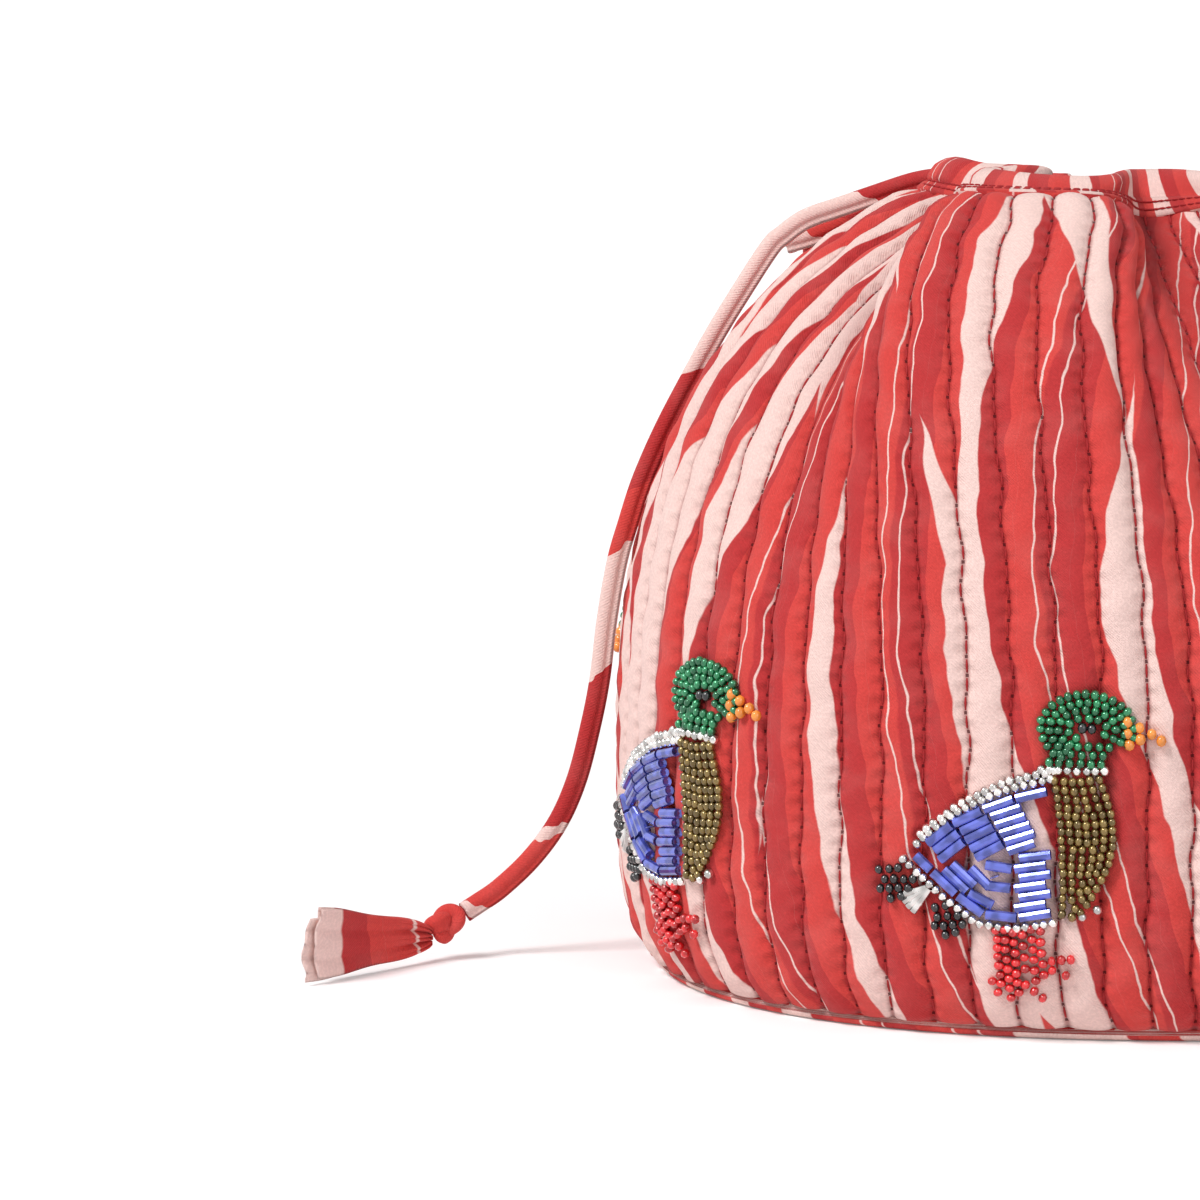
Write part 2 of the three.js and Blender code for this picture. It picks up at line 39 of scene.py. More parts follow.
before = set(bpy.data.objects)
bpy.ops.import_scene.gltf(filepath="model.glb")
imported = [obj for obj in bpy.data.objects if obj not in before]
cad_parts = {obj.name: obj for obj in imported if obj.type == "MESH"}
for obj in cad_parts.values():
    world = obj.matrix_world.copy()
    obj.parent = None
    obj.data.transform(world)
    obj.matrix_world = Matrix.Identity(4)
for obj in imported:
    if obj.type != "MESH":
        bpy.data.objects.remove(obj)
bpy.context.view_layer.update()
MM = 0.001

# The cloth's cut and gathers, in millimetres
BELLY_HALF_WIDTH, BELLY_HALF_DEPTH, BELLY_HEIGHT = 125.4, 93.3, 45
NECK_HALF_WIDTH, NECK_HALF_DEPTH = 50, 38.3
SEAM_HEIGHT, SHOULDER_REACH = 170.5, 3.5
SHOULDER_TOP = SEAM_HEIGHT + SHOULDER_REACH
CASING_RISE, CASING_LEAN_IN = 6, 8.6
FRONT_LEAN, RIM_BOWL = 6.25, 5
CORNER_INSET, CORNER_CURVE = 7.3, 3.6
SHOULDER_CURVE, SHOULDER_FULLNESS = 2.7, 0.7
BELLY_SQUARENESS, NECK_SQUARENESS = 2.3, 3.2
BASE_THICKNESS, BASE_EDGE, BASE_TUCK, CLEARANCE = 3, 2.6, 0.6, 0.3
WALL_BOTTOM = BASE_THICKNESS + CLEARANCE
WALL_TOP = SEAM_HEIGHT + CASING_RISE

# Quilting
CHANNELS = 75
WALL_THICKNESS, THINNEST, BEND_SHARE = 2.8, 0.9, 0.4
# The last value sets the even painted shade on the pouch's inner side.
CHANNEL_FULLNESS, EDGE_FADE, INNER_CREASE_SHADE = 0.62, 6, 0.3
STITCH_SHARE = 0.84

# Folds
FOLD_DEPTH, FOLD_ONSET, FOLD_DIP, RIM_DIP = 27, 0.75, 9, 1
NECK_TWIST, TWIST_CENTRE, CREASE_SHARE, STEEP_SHARE = 0.08, 0.19, 0.08, 0.7
SLIT_FLANK, BEND_REACH = 38, 13
STEEPEST, MOST_TURNED = 0.965, 0.6

# Each fold's stitch line, depth, flank before, flank after and drop of the rim
FOLDS = (
    (8, 0.8, 54, 38, 0),
    (20, 1, 39, 54, 0),
    (33, 0.95, 46, 44, 0),
    (45, 1, 42, 48, 0),
    (56.5, 0.88, 42, 48, 0),
    (68, 1, 46, 42, 0),
    (74.5, 0.18, 22, 24, 5),
)

# Casing and the mouths that the cord leaves by
CASING_WIDTH, CASING_THICKNESS, RIDGE_HEIGHT, RIDGE_PROUD = 10.5, 4.2, 2.4, 1.5
CASING_PUFF, SEAM_THICKNESS = 1.6, 1.8
CASING_FIRST, CASING_LAST = 2.5, 74
MOUTH_DEPTH, MOUTH_RADIUS, MOUTH_LIP, MOUTH_SWELL = 4.5, 2.6, 0.9, 1.6
UNDER_CASING_RISE, UNDER_CASING_SINK = 1.2, 1.1
RIDGE_ROWS, RIDGE_STITCH_PITCH, RIDGE_STITCH_LENGTH = (0.75, 2.0), 2.6, 1.9

# Drawstring
KNOT_LENGTH, TASSEL_GAP, TASSEL_LENGTH, TASSEL_FLARE = 10, 0.9, 36, 8.5
TASSEL_NECK_HALF, TASSEL_TUCK, TASSEL_CLOTH = 1.5, 1.5, 0.8

# Bead motifs
MOTIFS, FIRST_MOTIF, MOTIF_FOOT, BEAD_BED = 8, 0.064, 10, 1.8
TUBE_ROW_PITCH, TUBE_SPACING = 2.1, 1.95

# The print: its stripes lean one way below a height and the other way above it
STRIPE_PITCH, STRIPE_LEAN, LEAN_TURN_HEIGHT, LEAN_ROUNDING = 17.5, 0.33, 85, 20
WIDE_STRIPE_PITCH, WIDE_STRIPE_LEAN = 47, 0.1
INNER_CLOTH_START = 450

# Surfaces
CLOTH_ROUGHNESS, CLOTH_SHEEN, CLOTH_SHINE, WEAVE_RELIEF = 0.92, 0.08, 0.1, 0.12

# The photograph's view, with the frame's origin at one of its pixels
PHOTO_PIXELS, ORIGIN_PIXEL, PIXELS_PER_MM = 1200, (1190, 953), 4.5
CAMERA_DISTANCE, CAMERA_ELEVATION, FILM_WIDTH = 1712, 10, 36
WORLD_LIGHT, FLOOR_GLOW = 0.36, 0.14

# How finely the cloth is worked out, and the stitch line at the back where its print begins
SAMPLES_PER_CHANNEL = 12
SAMPLES = CHANNELS * SAMPLES_PER_CHANNEL
ROWS = 241
BACK_SEAM = 56.25


# The cloth's surface: rings of the gathered wall from the base seam to the rim


def smooth(value):
    """A soft step from 0 to 1."""
    t = np.clip(value, 0, 1)
    return t * t * (3 - 2 * t)


def profile_at(z):
    """The pouch's half width and half depth at a height, and how much of its shoulder is left there."""
    below = np.maximum(0, BELLY_HEIGHT - z) / BELLY_HEIGHT
    above = np.maximum(0, np.minimum(z, SEAM_HEIGHT) - BELLY_HEIGHT) / (SHOULDER_TOP - BELLY_HEIGHT)
    in_casing = np.maximum(0, z - SEAM_HEIGHT) / CASING_RISE
    inset = CORNER_INSET * below**CORNER_CURVE + CASING_LEAN_IN * in_casing
    shoulder = (1 - above**SHOULDER_CURVE) ** SHOULDER_FULLNESS
    half_width = NECK_HALF_WIDTH + (BELLY_HALF_WIDTH - NECK_HALF_WIDTH) * shoulder - inset
    half_depth = NECK_HALF_DEPTH + (BELLY_HALF_DEPTH - NECK_HALF_DEPTH) * shoulder - inset
    return half_width, half_depth, shoulder


PROFILE_Z = np.linspace(WALL_BOTTOM, WALL_TOP, 401)
PROFILE_ARC = np.concatenate(
    [[0], np.cumsum(np.hypot(np.diff(PROFILE_Z), np.diff(profile_at(PROFILE_Z)[0])))]
)
WALL_ARC = PROFILE_ARC[-1]
RIM_SHARE = 1 - CASING_WIDTH / WALL_ARC


class Oval:
    """A rounded oval outline at one height, walked from the left side round the front."""

    def __init__(self, z):
        self.half_width, self.half_depth, shoulder = profile_at(np.float64(z))
        squareness = NECK_SQUARENESS + (BELLY_SQUARENESS - NECK_SQUARENESS) * shoulder
        angle = np.pi + np.linspace(0, 2 * np.pi, 721)
        cos, sin = np.cos(angle), np.sin(angle)
        self.x = self.half_width * np.sign(cos) * np.abs(cos) ** (2 / squareness)
        self.y = self.half_depth * np.sign(sin) * np.abs(sin) ** (2 / squareness)
        self.arc = np.concatenate([[0], np.cumsum(np.hypot(np.diff(self.x), np.diff(self.y)))])
        self.length = self.arc[-1]

    def at(self, distance):
        wrapped = np.mod(distance, self.length)
        return np.stack([np.interp(wrapped, self.arc, self.x), np.interp(wrapped, self.arc, self.y)], 1)

    def outward(self, distance):
        reach = self.length / 90
        ahead = self.at(distance + reach) - self.at(distance - reach)
        normal = np.stack([ahead[:, 1], -ahead[:, 0]], 1)
        return normal / np.linalg.norm(normal, axis=1, keepdims=True)


CLOTH_WIDTH = Oval(BELLY_HEIGHT).length
CHANNEL_WIDTH = CLOTH_WIDTH / CHANNELS
DRAWN_IN = 1 - Oval(WALL_TOP).length / CLOTH_WIDTH


def gather(z, length):
    """How far the folds have formed at a height: 0 below the belly and 1 at the rim."""
    if z <= BELLY_HEIGHT:
        return 0.0
    return (max(0, 1 - length / CLOTH_WIDTH) / DRAWN_IN) ** FOLD_ONSET


def fold_fields():
    """For each place round the cloth: how far in, steep, low, crowded and near its folds are."""
    steps = 200
    middles = (np.arange(steps) + 0.5) / steps
    flat = 1 - smooth((middles - STEEP_SHARE) / (1 - STEEP_SHARE))
    slopes = np.where(middles < CREASE_SHARE, smooth(middles / CREASE_SHARE), flat)
    drop_in = np.concatenate([[0], np.cumsum(slopes) / steps])
    area = drop_in[-1]
    u = np.arange(SAMPLES) / SAMPLES * CLOTH_WIDTH
    inward, slope, drop, crowd = (np.zeros(SAMPLES) for _ in range(4))
    nearest = np.full(SAMPLES, CLOTH_WIDTH)
    for stitch, depth, before, after, low in FOLDS:
        across = u - stitch * CHANNEL_WIDTH
        turn = across - CLOTH_WIDTH * np.round(across / CLOTH_WIDTH)
        flank = np.where(turn < 0, before, after)
        x = np.abs(turn) / flank
        near = x < 1
        x = np.minimum(x, 1)
        held = np.where(near, 1 - drop_in[np.round(x * steps).astype(int)] / area, 0)
        settle = 1 - smooth((x - STEEP_SHARE) / (1 - STEEP_SHARE))
        rate = np.where(x < CREASE_SHARE, smooth(x / CREASE_SHARE), settle)
        inward += depth * held
        slope += np.where(near, depth * rate / (area * flank), 0)
        drop += low * held
        if low:
            continue
        nearest = np.where(near, np.minimum(nearest, np.abs(turn)), nearest)
        slit = np.minimum(1, (SLIT_FLANK / flank) ** 2)
        crowd = np.maximum(crowd, np.where(near, slit * settle, 0))
    return inward, slope, drop, crowd, nearest


def ease(points, reach):
    """Padded cloth doesn't bend sharply, so each place settles between its neighbours."""
    total = points.copy()
    for step in range(1, reach + 1):
        total += np.roll(points, step, 0) + np.roll(points, -step, 0)
    return total / (2 * reach + 1)


def cloth_ring(share, fields):
    """One level of the wall: its oval with the folds pressed in, and how far they have formed."""
    inward, slope, drop, crowd, _ = fields
    z = float(np.interp(np.clip(share, 0, 1) * WALL_ARC, PROFILE_ARC, PROFILE_Z))
    oval = Oval(z)
    rise = gather(z, oval.length)
    at_rim = smooth((share - RIM_SHARE + 0.02) / (1 - RIM_SHARE))
    dip = rise * (FOLD_DIP + (RIM_DIP - FOLD_DIP) * at_rim)
    depth = FOLD_DEPTH * rise
    steep = np.minimum(depth * slope, STEEPEST)
    turned = np.minimum(MOST_TURNED, depth * inward * 2 * np.pi / oval.length)
    advance = np.sqrt(1 - steep**2) / (1 - turned)
    spare = advance.sum() - oval.length * SAMPLES / CLOTH_WIDTH
    squeeze = np.clip(spare / max((advance * crowd).sum(), 1e-6), -0.4, 0.86)
    steps = advance * (1 - squeeze * crowd)
    turn = (np.cumsum(steps) - steps) / steps.sum()
    to_front = 0.5 + 0.5 * np.cos(2 * np.pi * (turn - TWIST_CENTRE))
    distance = oval.length * (turn - NECK_TWIST * rise ** (1 / FOLD_ONSET) * to_front)
    place = oval.at(distance) - oval.outward(distance) * (depth * inward)[:, None]
    forward = -place[:, 1] / oval.half_depth
    lift = rise * (FRONT_LEAN * forward - RIM_BOWL * forward**2 * at_rim)
    height = z + lift - dip * inward - rise * drop
    points = np.column_stack([place, height])
    reach = round(BEND_REACH * rise)
    return ease(ease(points, reach), reach), rise


def held_inside(ring):
    """How far the wall's inner side may lie behind each place, less where the cloth bends tightly."""
    reach = 5
    flat = ring[:, :2]
    into, out = flat - np.roll(flat, reach, 0), np.roll(flat, -reach, 0) - flat
    turned = np.arctan2(
        into[:, 0] * out[:, 1] - into[:, 1] * out[:, 0],
        into[:, 0] * out[:, 0] + into[:, 1] * out[:, 1],
    )
    walked = (np.linalg.norm(into, axis=1) + np.linalg.norm(out, axis=1)) / 2
    radius = np.where(turned > 0.01, walked / np.maximum(turned, 0.01), 1e3)
    return np.min([np.roll(radius, step) for step in range(-reach, reach + 1)], 0)


class Cloth:
    """The whole gathered wall as tables over stitch and height share."""

    def __init__(self):
        fields = fold_fields()
        rings = [cloth_ring(share, fields) for share in np.linspace(0, 1, ROWS)]
        self.places = np.array([ring for ring, _ in rings])
        rise = np.array([rise for _, rise in rings])
        near = 1 - smooth(fields[4] / (2.2 * CHANNEL_WIDTH))
        self.room = 1 - 0.8 * rise[:, None] * near[None, :]
        self.radius = np.array([held_inside(ring) for ring in self.places])
        along = np.roll(self.places, -4, 1) - np.roll(self.places, 4, 1)
        row = np.arange(ROWS)
        up = self.places[np.minimum(row + 3, ROWS - 1)] - self.places[np.maximum(row - 3, 0)]
        normal = np.cross(along, up)
        self.normals = normal / np.linalg.norm(normal, axis=2, keepdims=True)

    def read(self, table, stitch, share):
        """One table's values at stitch counts and height shares, blended between its entries."""
        across = np.mod(np.asarray(stitch, float), CHANNELS) * SAMPLES_PER_CHANNEL
        above = np.clip(np.asarray(share, float), 0, 1) * (ROWS - 1)
        i, r = np.floor(across).astype(int), np.minimum(np.floor(above).astype(int), ROWS - 2)
        s, t = across - i, above - r
        if table.ndim == 3:
            s, t = s[..., None], t[..., None]
        i, j = i % SAMPLES, (i + 1) % SAMPLES
        low = table[r, i] * (1 - s) + table[r, j] * s
        high = table[r + 1, i] * (1 - s) + table[r + 1, j] * s
        return low * (1 - t) + high * t

    def point(self, stitch, share, outward=0.0):
        stitch, share, outward = np.broadcast_arrays(
            np.asarray(stitch, float), np.asarray(share, float), np.asarray(outward, float)
        )
        place = self.read(self.places, stitch, share)
        return place + self.read(self.normals, stitch, share) * outward[..., None]

    def inside(self, stitch, share, thickness):
        tight = BEND_SHARE * self.read(self.radius, stitch, share)
        return -np.maximum(THINNEST, np.minimum(thickness, tight))

    def open_room(self, stitch, share):
        return self.read(self.room, stitch, share)


CLOTH = Cloth()


def wander(stitch, share):
    """How far a stitch line strays sideways, in stitches. It closes on itself round the pouch."""
    turn = 2 * np.pi * stitch / CHANNELS
    return 0.035 * np.sin(25 * turn + 61 * share) + 0.025 * np.sin(11 * turn - 97 * share)


def share_at_height(z):
    return np.interp(z, PROFILE_Z, PROFILE_ARC) / WALL_ARC


# Meshes


def new_piece(name, bm, material, *, smooth_shaded=True):
    """An object from a mesh in metres, riding on the pouch's only body."""
    mesh = bpy.data.meshes.new(name)
    bm.to_mesh(mesh)
    bm.free()
    if smooth_shaded:
        mesh.polygons.foreach_set("use_smooth", [True] * len(mesh.polygons))
    for one in material if isinstance(material, (list, tuple)) else [material]:
        mesh.materials.append(one)
    piece = bpy.data.objects.new(name, mesh)
    bpy.context.scene.collection.objects.link(piece)
    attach(piece, "root")
    return piece


def bent_grid(places, uvs, *, round_across=True, round_up=False, crease_shades=None):
    """A flat grid bent to rows of places in millimetres, its edges merged where it closes on itself."""
    rows, columns = places.shape[:2]
    bm = bmesh.new()
    bmesh.ops.create_grid(bm, x_segments=columns - 1, y_segments=rows - 1, size=1)
    bm.verts.ensure_lookup_table()
    layer = bm.loops.layers.uv.new("cloth")
    for face in bm.faces:
        for loop in face.loops:
            row, column = divmod(loop.vert.index, columns)
            loop[layer].uv = uvs[row, column]
    for vert, place in zip(bm.verts, places.reshape(-1, 3)):
        vert.co = place * MM
    # A value at each place for the painted shade in the creases of the folds.
    if crease_shades is not None:
        crease_shade = bm.verts.layers.float.new("crease_shade")
        for vert, depth in zip(bm.verts, crease_shades.ravel()):
            vert[crease_shade] = depth
    edges = []
    if round_across:
        edges += [v for r in range(rows) for v in (r * columns, (r + 1) * columns - 1)]
    if round_up:
        edges += list(range(columns)) + list(range((rows - 1) * columns, rows * columns))
    if edges:
        chosen = [bm.verts[i] for i in sorted(set(edges))]
        bmesh.ops.remove_doubles(bm, verts=chosen, dist=1e-6)
    return bm


def small_shape(name, make, material_index=0, *, smooth_shaded=True):
    """A mesh that is stamped many times, made once by a bmesh operator."""
    bm = bmesh.new()
    make(bm)
    for face in bm.faces:
        face.smooth = smooth_shaded
        face.material_index = material_index
    mesh = bpy.data.meshes.new(name)
    bm.to_mesh(mesh)
    bm.free()
    return mesh


def stamp(bm, shape, matrix):
    """Adds a moved copy of a small shape to a mesh."""
    copy = shape.copy()
    copy.transform(matrix)
    bm.from_mesh(copy)
    bpy.data.meshes.remove(copy)


def ball(segments, rings):
    """What makes a round small shape."""
    return lambda bm: bmesh.ops.create_uvsphere(bm, u_segments=segments, v_segments=rings, radius=1)


def finish_shell(bm):
    """Takes out edges of no length and turns every face outwards."""
    bmesh.ops.dissolve_degenerate(bm, dist=1e-7, edges=bm.edges)
    bmesh.ops.recalc_face_normals(bm, faces=bm.faces)
    return bm


def close_ends(bm):
    """Fills the open ends of a swept strip."""
    bmesh.ops.holes_fill(bm, edges=[edge for edge in bm.edges if len(edge.link_faces) == 1])
    return finish_shell(bm)


def join_meshes(parts):
    """One mesh from many. Each is made small first, because adding to a large mesh is slow."""
    whole = bmesh.new()
    for bm in parts:
        mesh = bpy.data.meshes.new("part")
        bm.to_mesh(mesh)
        bm.free()
        whole.from_mesh(mesh)
        bpy.data.meshes.remove(mesh)
    return whole


# Materials


def opaque(colour):
    """A colour as the four values that a colour socket takes."""
    return tuple(colour) + (1.0,)


def plain_material(name, roughness, metallic=0.0):
    material = bpy.data.materials.new(name)
    material.use_nodes = True
    shader = material.node_tree.nodes["Principled BSDF"]
    shader.inputs["Roughness"].default_value = roughness
    shader.inputs["Metallic"].default_value = metallic
    return material, Nodes(material.node_tree), shader


def cloth_material(name):
    """A soft, dull surface with a little fluff that catches the light."""
    material, nodes, shader = plain_material(name, CLOTH_ROUGHNESS)
    shader.inputs["Sheen Weight"].default_value = CLOTH_SHEEN
    shader.inputs["Specular IOR Level"].default_value = CLOTH_SHINE
    return material, nodes, shader


class Nodes:
    """Short ways to add nodes to one tree."""

    def __init__(self, tree):
        self.tree = tree

    def node(self, kind, **settings):
        node = self.tree.nodes.new(kind)
        for key, value in settings.items():
            setattr(node, key, value)
        return node

    def link(self, value, socket):
        if isinstance(value, bpy.types.NodeSocket):
            self.tree.links.new(value, socket)
        else:
            socket.default_value = value

    def math(self, operation, a, b=0.0):
        node = self.node("ShaderNodeMath", operation=operation)
        for value, socket in zip((a, b), node.inputs):
            self.link(value, socket)
        return node.outputs[0]

    def ramp(self, value, low, high):
        """0 below low and 1 above high, with a smooth step between."""
        node = self.node("ShaderNodeMapRange", interpolation_type="SMOOTHSTEP")
        for name, entry in (("Value", value), ("From Min", low), ("From Max", high)):
            self.link(entry, node.inputs[name])
        return node.outputs["Result"]

    def noise(self, vector, scale, detail):
        node = self.node("ShaderNodeTexNoise")
        self.link(vector, node.inputs["Vector"])
        node.inputs["Scale"].default_value = scale
        node.inputs["Detail"].default_value = detail
        return node.outputs["Fac"]

    def random(self, value):
        node = self.node("ShaderNodeTexWhiteNoise", noise_dimensions="1D")
        self.link(value, node.inputs["W"])
        return node.outputs["Value"]

    def mix(self, fac, a, b):
        node = self.node("ShaderNodeMix", data_type="RGBA")
        self.link(fac, node.inputs["Factor"])
        self.link(a, node.inputs["A"])
        self.link(b, node.inputs["B"])
        return node.outputs["Result"]

    def combine(self, x, y, z=0.0):
        node = self.node("ShaderNodeCombineXYZ")
        for value, socket in zip((x, y, z), node.inputs):
            self.link(value, socket)
        return node.outputs[0]


def new_group(name, inputs, outputs):
    tree = bpy.data.node_groups.new(name, "ShaderNodeTree")
    for label, kind in inputs:
        tree.interface.new_socket(name=label, in_out="INPUT", socket_type=kind)
    for label, kind in outputs:
        tree.interface.new_socket(name=label, in_out="OUTPUT", socket_type=kind)
    nodes = Nodes(tree)
    return tree, nodes, nodes.node("NodeGroupInput"), nodes.node("NodeGroupOutput")


def stripe_print_group():
    """Long hand-drawn stripes that lean both ways, taper to points and break into hairlines."""
    tree, n, given, out = new_group(
        "stripe_print",
        [("Cloth", "NodeSocketVector"), ("Ground", "NodeSocketColor"), ("Shade", "NodeSocketColor"),
         ("Pale", "NodeSocketColor")],
        [("Color", "NodeSocketColor"), ("Pale Mask", "NodeSocketFloat")],
    )
    split = n.node("ShaderNodeSeparateXYZ")
    n.link(given.outputs["Cloth"], split.inputs[0])
    across, up = split.outputs[0], split.outputs[1]
    above = n.math("SUBTRACT", up, LEAN_TURN_HEIGHT * MM)
    rounding = (LEAN_ROUNDING * MM) ** 2
    bend = n.math("SQRT", n.math("ADD", n.math("MULTIPLY", above, above), rounding))
    lean = n.math("MULTIPLY", bend, STRIPE_LEAN)
    drift = n.noise(given.outputs["Cloth"], 7.0, 0.0)
    wobble = n.noise(n.combine(n.math("MULTIPLY", across, 1.6), up), 150.0, 1.0)
    stray = n.math("MULTIPLY", n.math("SUBTRACT", drift, 0.5), 0.045)
    fine = n.math("MULTIPLY", n.math("SUBTRACT", wobble, 0.5), 0.0016)
    place = n.math("ADD", n.math("SUBTRACT", across, lean), n.math("ADD", stray, fine))
    phase = n.math("DIVIDE", place, STRIPE_PITCH * MM)
    count = n.math("FLOOR", phase)
    part = n.math("SUBTRACT", phase, count)
    kind = n.random(count)
    width_noise = n.noise(n.combine(n.math("MULTIPLY", count, 3.7), n.math("MULTIPLY", up, 13.0)), 1.0, 0.0)
    half = n.math("MULTIPLY", n.math("SUBTRACT", width_noise, 0.27), 1.0)
    off_middle = n.math("ABSOLUTE", n.math("SUBTRACT", part, 0.5))
    gap = n.math("SUBTRACT", half, off_middle)
    band = n.ramp(gap, -0.012, 0.012)
    lines = n.math("ABSOLUTE", n.math("SUBTRACT", n.math("FRACT", n.math("MULTIPLY", part, 4.0)), 0.5))
    hair = n.math("SUBTRACT", 1.0, n.ramp(lines, 0.02, 0.075))
    hair_here = n.math("MULTIPLY", hair, n.math("LESS_THAN", off_middle, 0.36))
    is_hair = n.math("GREATER_THAN", kind, 0.78)
    first = n.math("ADD", n.math("MULTIPLY", band, n.math("SUBTRACT", 1.0, is_hair)),
                   n.math("MULTIPLY", hair_here, is_hair))
    wide_lean = n.math("MULTIPLY", up, WIDE_STRIPE_LEAN)
    wide_place = n.math("ADD", wide_lean, n.math("ADD", across, stray))
    wide_phase = n.math("DIVIDE", wide_place, WIDE_STRIPE_PITCH * MM)
    wide_count = n.math("FLOOR", wide_phase)
    wide_part = n.math("ABSOLUTE", n.math("SUBTRACT", n.math("FRACT", wide_phase), 0.5))
    wide_noise = n.noise(
        n.combine(n.math("MULTIPLY", wide_count, 5.1), n.math("MULTIPLY", up, 17.0), 4.0), 1.0, 0.0)
    wide_half = n.math("MULTIPLY", n.math("SUBTRACT", wide_noise, 0.4), 0.42)
    wide = n.ramp(n.math("SUBTRACT", wide_half, wide_part), -0.005, 0.005)
    pale = n.math("MAXIMUM", first, wide)
    shade_line = n.math("ADD", part, n.math("MULTIPLY", n.math("SUBTRACT", width_noise, 0.5), 0.6))
    shade = n.ramp(shade_line, 0.48, 0.52)
    tone = n.mix(shade, given.outputs["Ground"], given.outputs["Shade"])
    mixed = n.mix(pale, tone, given.outputs["Pale"])
    n.link(mixed, out.inputs["Color"])
    n.link(pale, out.inputs["Pale Mask"])
    return tree


def weave_group():
    """A fine slanting weave with fluff, as a height and a slight change of tone."""
    tree, n, given, out = new_group(
        "cotton_weave",
        [("Cloth", "NodeSocketVector"), ("Color", "NodeSocketColor")],
        [("Color", "NodeSocketColor"), ("Height", "NodeSocketFloat")],
    )
    split = n.node("ShaderNodeSeparateXYZ")
    n.link(given.outputs["Cloth"], split.inputs[0])
    slant = n.math("MULTIPLY", n.math("ADD", split.outputs[0], split.outputs[1]), 9000.0)
    twill = n.math("MULTIPLY", n.math("SINE", slant), 0.5)
    fluff = n.noise(given.outputs["Cloth"], 1600.0, 2.0)
    blotch = n.noise(given.outputs["Cloth"], 90.0, 3.0)
    dark = n.mix(0.13, given.outputs["Color"], (0.05, 0.0, 0.0, 1.0))
    speckled = n.mix(n.ramp(fluff, 0.35, 0.75), dark, given.outputs["Color"])
    faded = n.mix(0.05, speckled, (0.9, 0.55, 0.5, 1.0))
    n.link(n.mix(n.ramp(blotch, 0.4, 0.75), speckled, faded), out.inputs["Color"])
    n.link(n.math("ADD", fluff, n.math("MULTIPLY", twill, 0.5)), out.inputs["Height"])
    return tree


def use_group(nodes, tree, **inputs):
    """A node that places a group, its inputs given by name."""
    node = nodes.node("ShaderNodeGroup")
    node.node_tree = tree
    for name, value in inputs.items():
        nodes.link(value, node.inputs[name.replace("_", " ")])
    return node


def cloth_coordinates(nodes):
    return nodes.node("ShaderNodeUVMap", uv_map="cloth").outputs[0]


def add_relief(nodes, shader, height):
    bump = nodes.node("ShaderNodeBump")
    bump.inputs["Distance"].default_value = WEAVE_RELIEF * MM
    nodes.link(height, bump.inputs["Height"])
    nodes.link(bump.outputs[0], shader.inputs["Normal"])


def shared_groups():
    groups = bpy.data.node_groups
    if "stripe_print" not in groups:
        stripe_print_group()
        weave_group()
    return groups["stripe_print"], groups["cotton_weave"]


def cotton(name, *, quilted=False, turn=0.0, shift=(0.0, 0.0, 0.0), scale=1.0):
    """Printed cotton. A turn and a shift show another part of the print, as on a piece cut elsewhere."""
    material, nodes, shader = cloth_material(name)
    shader.inputs["Sheen Roughness"].default_value = 0.6
    colours = bpy.context.scene.pouch_colours
    stripes, weave = shared_groups()
    cloth = cloth_coordinates(nodes)
    mapping = nodes.node("ShaderNodeMapping")
    mapping.inputs["Location"].default_value = shift
    mapping.inputs["Rotation"].default_value = (0, 0, turn)
    mapping.inputs["Scale"].default_value = (scale, scale, 1)
    nodes.link(cloth, mapping.inputs["Vector"])
    printed = use_group(
        nodes, stripes, Cloth=mapping.outputs[0], Ground=opaque(colours.red),
        Shade=opaque(colours.dark_red), Pale=opaque(colours.pink),
    )
    woven = use_group(nodes, weave, Cloth=cloth, Color=printed.outputs["Color"])
    colour, height = woven.outputs["Color"], woven.outputs["Height"]
    if quilted:
        colour, height = stitched_groove(nodes, cloth, colour, height)
    nodes.link(colour, shader.inputs["Base Color"])
    add_relief(nodes, shader, height)
    return material


